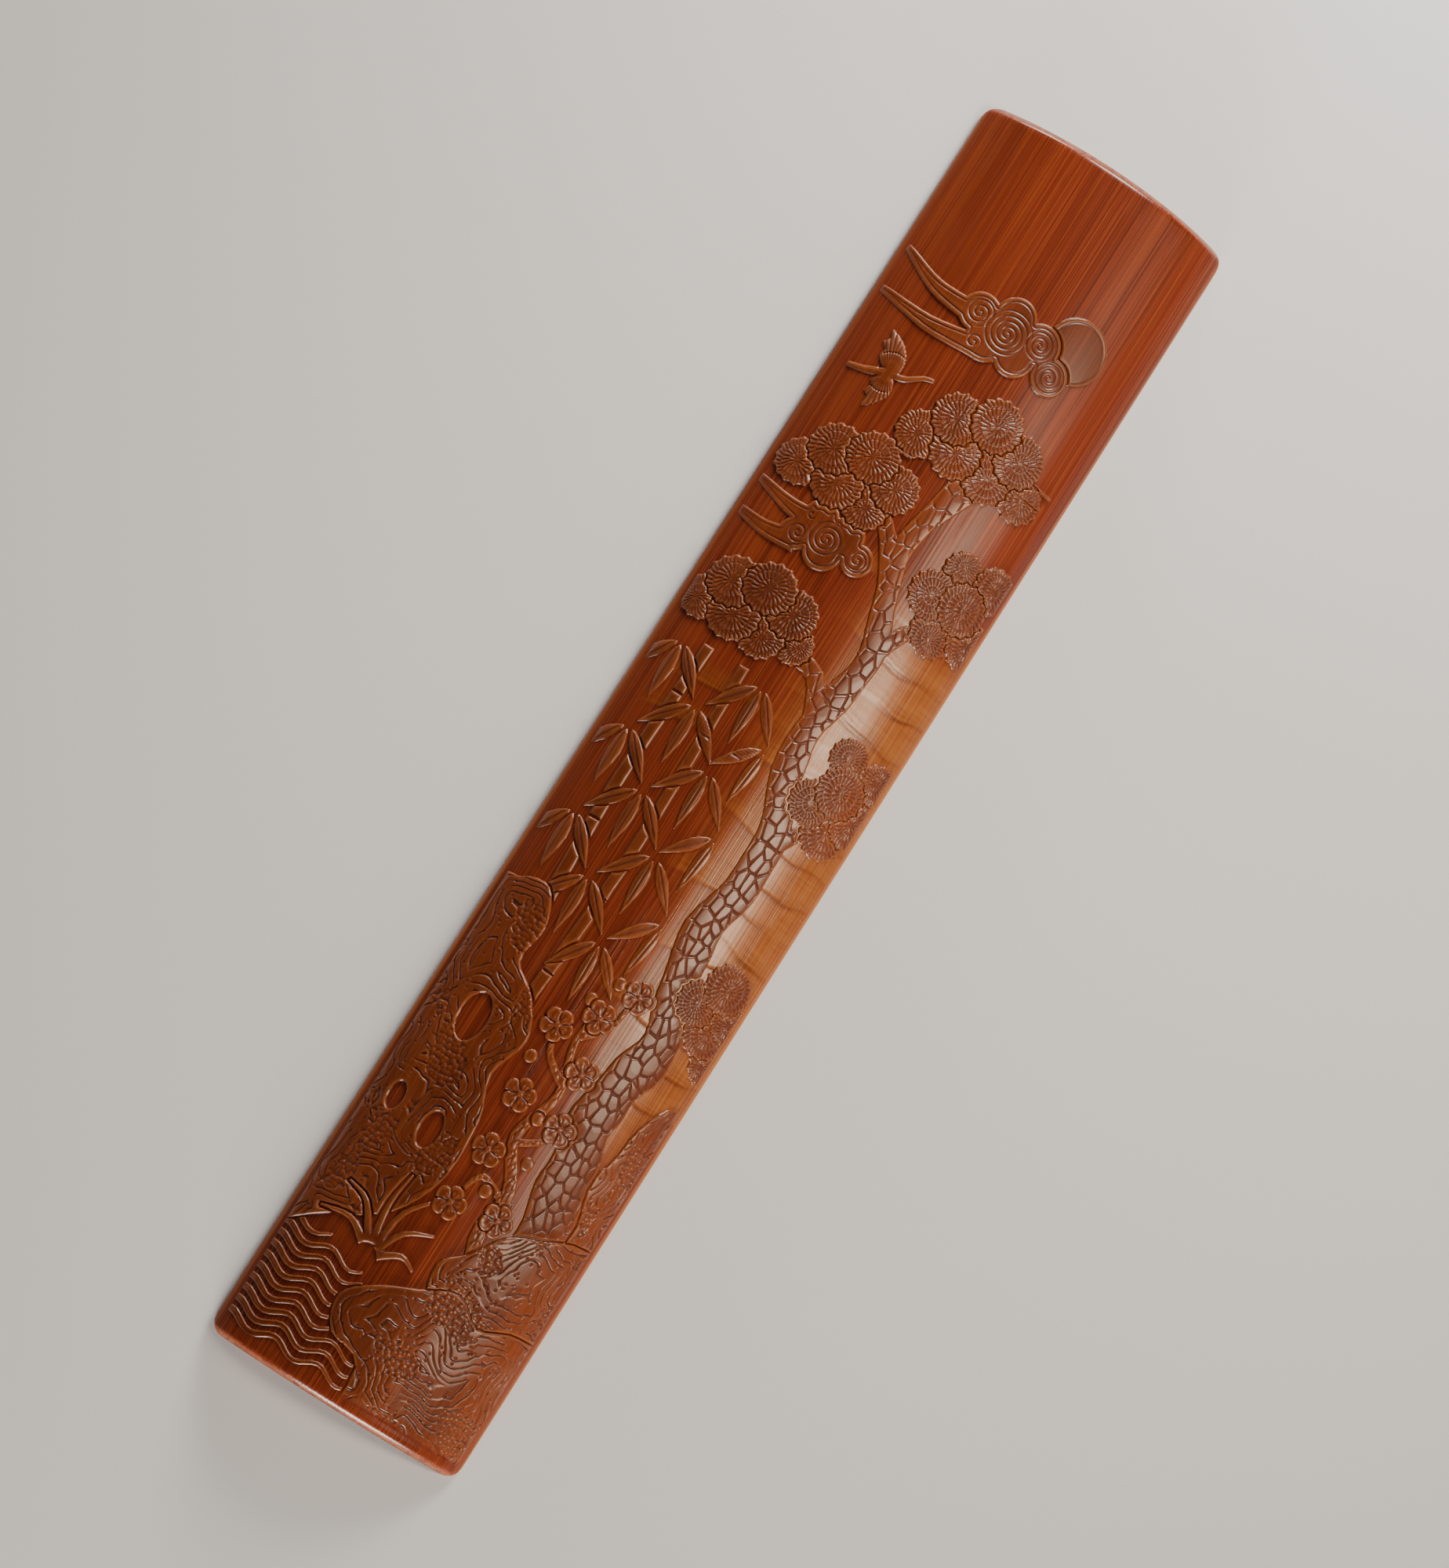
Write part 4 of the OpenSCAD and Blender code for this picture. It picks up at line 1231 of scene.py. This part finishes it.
# %% Grain that follows the fibres
# Each grain: its width and length in millimetres, its detail, and a shift that keeps it unlike the others
GRAINS = {
    "lines": (0.34, 110, 1.0, 3.1),
    "threads": (0.2, 48, 0.0, 9.4),
    "streaks": (1.1, 160, 2.0, 17.7),
    "bands": (8.0, 260, 1.0, 41.3),
    "flecks": (0.22, 5, 0.0, 63.9),
    "blotches": (14.0, 40, 2.0, 88.5),
    "across": (6.0, 0.5, 2.0, 29.3),
}


def culm_grain(start):
    """Every grain as a wire, each about 0 to 1."""
    place = start.add("ShaderNodeTexCoord", out="Object")
    x, y, z = (start.add("ShaderNodeSeparateXYZ", None, {"Vector": place}, out=axis) for axis in "XYZ")
    z = z - AXIS_Z * MM
    round_culm = x.math("ARCTAN2", z) * CULM_R
    radius = (x * x + z * z).math("SQRT") / MM
    length = y / MM

    def stretched(wide, long, detail, shift):
        sides = {"X": round_culm / wide + shift, "Y": length / long, "Z": radius / wide}
        vector = start.add("ShaderNodeCombineXYZ", None, sides)
        sockets = {"Vector": vector, "Scale": 1.0, "Detail": detail, "Roughness": 0.55}
        return start.add("ShaderNodeTexNoise", None, sockets)

    return {name: stretched(*sizes) for name, sizes in GRAINS.items()}


print("grains:", ", ".join(GRAINS))


# %% Soft steps, ramps and marks
def soft_step(value, low, high):
    """A smooth rise from 0 to 1 as a wire's value goes from low to high."""
    settings = {"interpolation_type": "SMOOTHSTEP"}
    return value.add("ShaderNodeMapRange", settings, {"Value": value, "From Min": low, "From Max": high})


def ramp(value, *stops):
    """A colour read off a row of stops."""
    return value.add("ShaderNodeValToRGB", {"stops": stops}, {"Fac": value})


def mark(start, name):
    """A mark that the points of a mesh carry."""
    return start.add("ShaderNodeAttribute", {"attribute_name": name}, out="Fac")


print("marks on the wall:", ", ".join(wall_marks))

# %% [markdown]
# ## Oiled fibre
# The bare ground is red-brown fibre, rubbed with oil and handled for years, so it has a satin gloss, dark
# hairline cracks and pale threads. One wood colour with bump would look like plastic. Instead each thing
# that a close look shows is one step of the recipe: grain, cracks, threads, the amber mist, painted shade
# along its cut lines, the rims, worn paler and painted paler still as a rim highlight, and the dark bundles
# on the cut ends.


# %% Oiled fibre
def fibre_finish():
    """The finish of the wall."""
    material, start = new_finish("oiled_fibre")
    grain = culm_grain(start)
    lift, wear_and_rim_highlight, edge = mark(start, "lift"), mark(start, "wear_and_rim_highlight"), mark(start, "hollow")
    mix = grain["lines"] * 0.54 + grain["streaks"] * 0.16 + grain["bands"] * 0.3
    colour = ramp(mix, (0.34, tone(84, 29, 12)), (0.46, tone(106, 39, 17)), (0.56, tone(118, 46, 21)),
                  (0.7, tone(136, 58, 28)))
    crack = 1 - soft_step((grain["streaks"] - 0.5).math("ABSOLUTE"), 0.002, 0.014)
    crack = crack * soft_step(grain["blotches"], 0.54, 0.66)
    colour = blend(crack * 0.4, colour, tone(58, 18, 7))
    colour = blend(soft_step(grain["threads"], 0.6, 0.72) * 0.36, colour, tone(168, 82, 34))
    misty = soft_step(lift, 0.0, 0.1)
    mix = grain["lines"] * 0.3 + grain["streaks"] * 0.25 + grain["across"] * 0.2 + lift + 0.07
    amber = ramp(mix, (0.36, tone(112, 52, 16)), (0.5, tone(138, 74, 28)), (0.64, tone(160, 96, 44)))
    colour = blend(misty * 0.9, colour, amber)
    # Painted shade darkens the mist's cut lines
    colour = blend(edge * 0.62, colour, tone(84, 33, 12))
    # The rims are worn paler and also painted paler, a painted rim highlight
    colour = blend(wear_and_rim_highlight * soft_step(grain["streaks"], 0.3, 0.6) * 0.6, colour, tone(186, 104, 44))
    bundles = soft_step(grain["lines"], 0.48, 0.6)
    colour = blend(mark(start, "cut_end") * 0.8, colour, blend(bundles, tone(98, 43, 19), tone(48, 18, 8)))
    relief = grain["lines"] * 0.6 + grain["streaks"] * 0.3 - crack * 0.4 + misty * grain["across"] * 0.2
    normal = start.add("ShaderNodeBump", None, {"Strength": 0.5, "Distance": 0.0001, "Height": relief})
    shade(start, {
        "Base Color": colour, "Roughness": 0.21 + grain["lines"] * 0.12 - wear_and_rim_highlight * 0.08, "Normal": normal,
        "Specular IOR Level": 0.46, "Coat Weight": 0.05, "Coat Roughness": 0.2,
    })
    return material


wall.data.materials.append(fibre_finish())
print("the wall is finished in", wall.data.materials[0].name)

# %% [markdown]
# ## Kept skin
# The skin is harder and browner than the fibre. Wax and dust settle in the grooves, which are also darkened
# with painted shade, and hands rub the ridges paler, which are also lightened with a painted highlight.
# Ambient occlusion could find the grooves, but it traces more rays for every sample, so the marks that were
# stored while carving are read instead: low points turn to fibre, hollows go dark with painted shade and
# dull, and ridges pale with a painted highlight.


# %% Kept skin
def skin_finish():
    """The finish of the carved islands."""
    material, start = new_finish("kept_skin")
    grain = culm_grain(start)
    lift, hollow = mark(start, "lift"), mark(start, "hollow")
    fibre = blend(grain["streaks"], tone(78, 25, 10), tone(116, 43, 18))
    mix = grain["lines"] * 0.36 + grain["bands"] * 0.34 + grain["blotches"] * 0.3
    skin = ramp(mix, (0.36, tone(84, 34, 12)), (0.5, tone(106, 46, 18)), (0.64, tone(128, 60, 26)))
    colour = blend(soft_step(lift, 0.03, 0.2), fibre, skin)
    # Painted shade, with some wax and dust, darkens the grooves
    groove_shade_and_grime = soft_step(hollow, 0.1, 0.9) * soft_step(lift, 0.0, 0.12)
    colour = blend(groove_shade_and_grime * 0.5, colour, tone(60, 22, 6))
    # A painted highlight, with some rubbing, lightens the ridges
    colour = blend(soft_step(hollow * -1, 0.15, 1.0) * 0.14, colour, tone(190, 120, 60))
    colour = blend(soft_step(grain["threads"], 0.58, 0.72) * 0.2, colour, tone(56, 22, 8))
    relief = grain["lines"] * 0.7 + grain["across"] * 0.3
    normal = start.add("ShaderNodeBump", None, {"Strength": 0.1, "Distance": 0.0001, "Height": relief})
    rough = 0.24 + grain["lines"] * 0.14 + soft_step(hollow, 0.1, 0.8) * 0.25
    shade(start, {
        "Base Color": colour, "Roughness": rough, "Normal": normal,
        "Specular IOR Level": 0.46, "Coat Weight": 0.04, "Coat Roughness": 0.15,
    })
    return material


skin_material = skin_finish()
for piece in skin_pieces:
    piece.data.materials.append(skin_material)
print(len(skin_pieces), "carved pieces are finished in", skin_material.name)

# %% [markdown]
# ## Scraped pith
# The back of a wrist rest is pale, dry and matt, and the scraper leaves darker gouges in it. It could share
# the fibre's finish in a lighter tone, but it has no oil, so it has its own: a paler ramp, a high roughness
# and a stronger bump with short flecks.


# %% Scraped pith
def pith_finish():
    """The finish of the hollow back."""
    material, start = new_finish("scraped_pith")
    grain = culm_grain(start)
    mix = grain["lines"] * 0.35 + grain["streaks"] * 0.35 + grain["blotches"] * 0.3
    colour = ramp(mix, (0.3, tone(140, 92, 48)), (0.5, tone(176, 126, 74)), (0.7, tone(206, 164, 110)))
    colour = blend(soft_step(mark(start, "hollow"), 0.1, 0.9) * 0.4, colour, tone(112, 66, 30))
    relief = grain["lines"] + grain["flecks"] * 0.5
    normal = start.add("ShaderNodeBump", None, {"Strength": 0.4, "Distance": 0.0002, "Height": relief})
    shade(start, {"Base Color": colour, "Roughness": 0.62 + grain["streaks"] * 0.2, "Normal": normal})
    return material


pith.data.materials.append(pith_finish())
print("the hollow back is finished in", pith.data.materials[0].name)
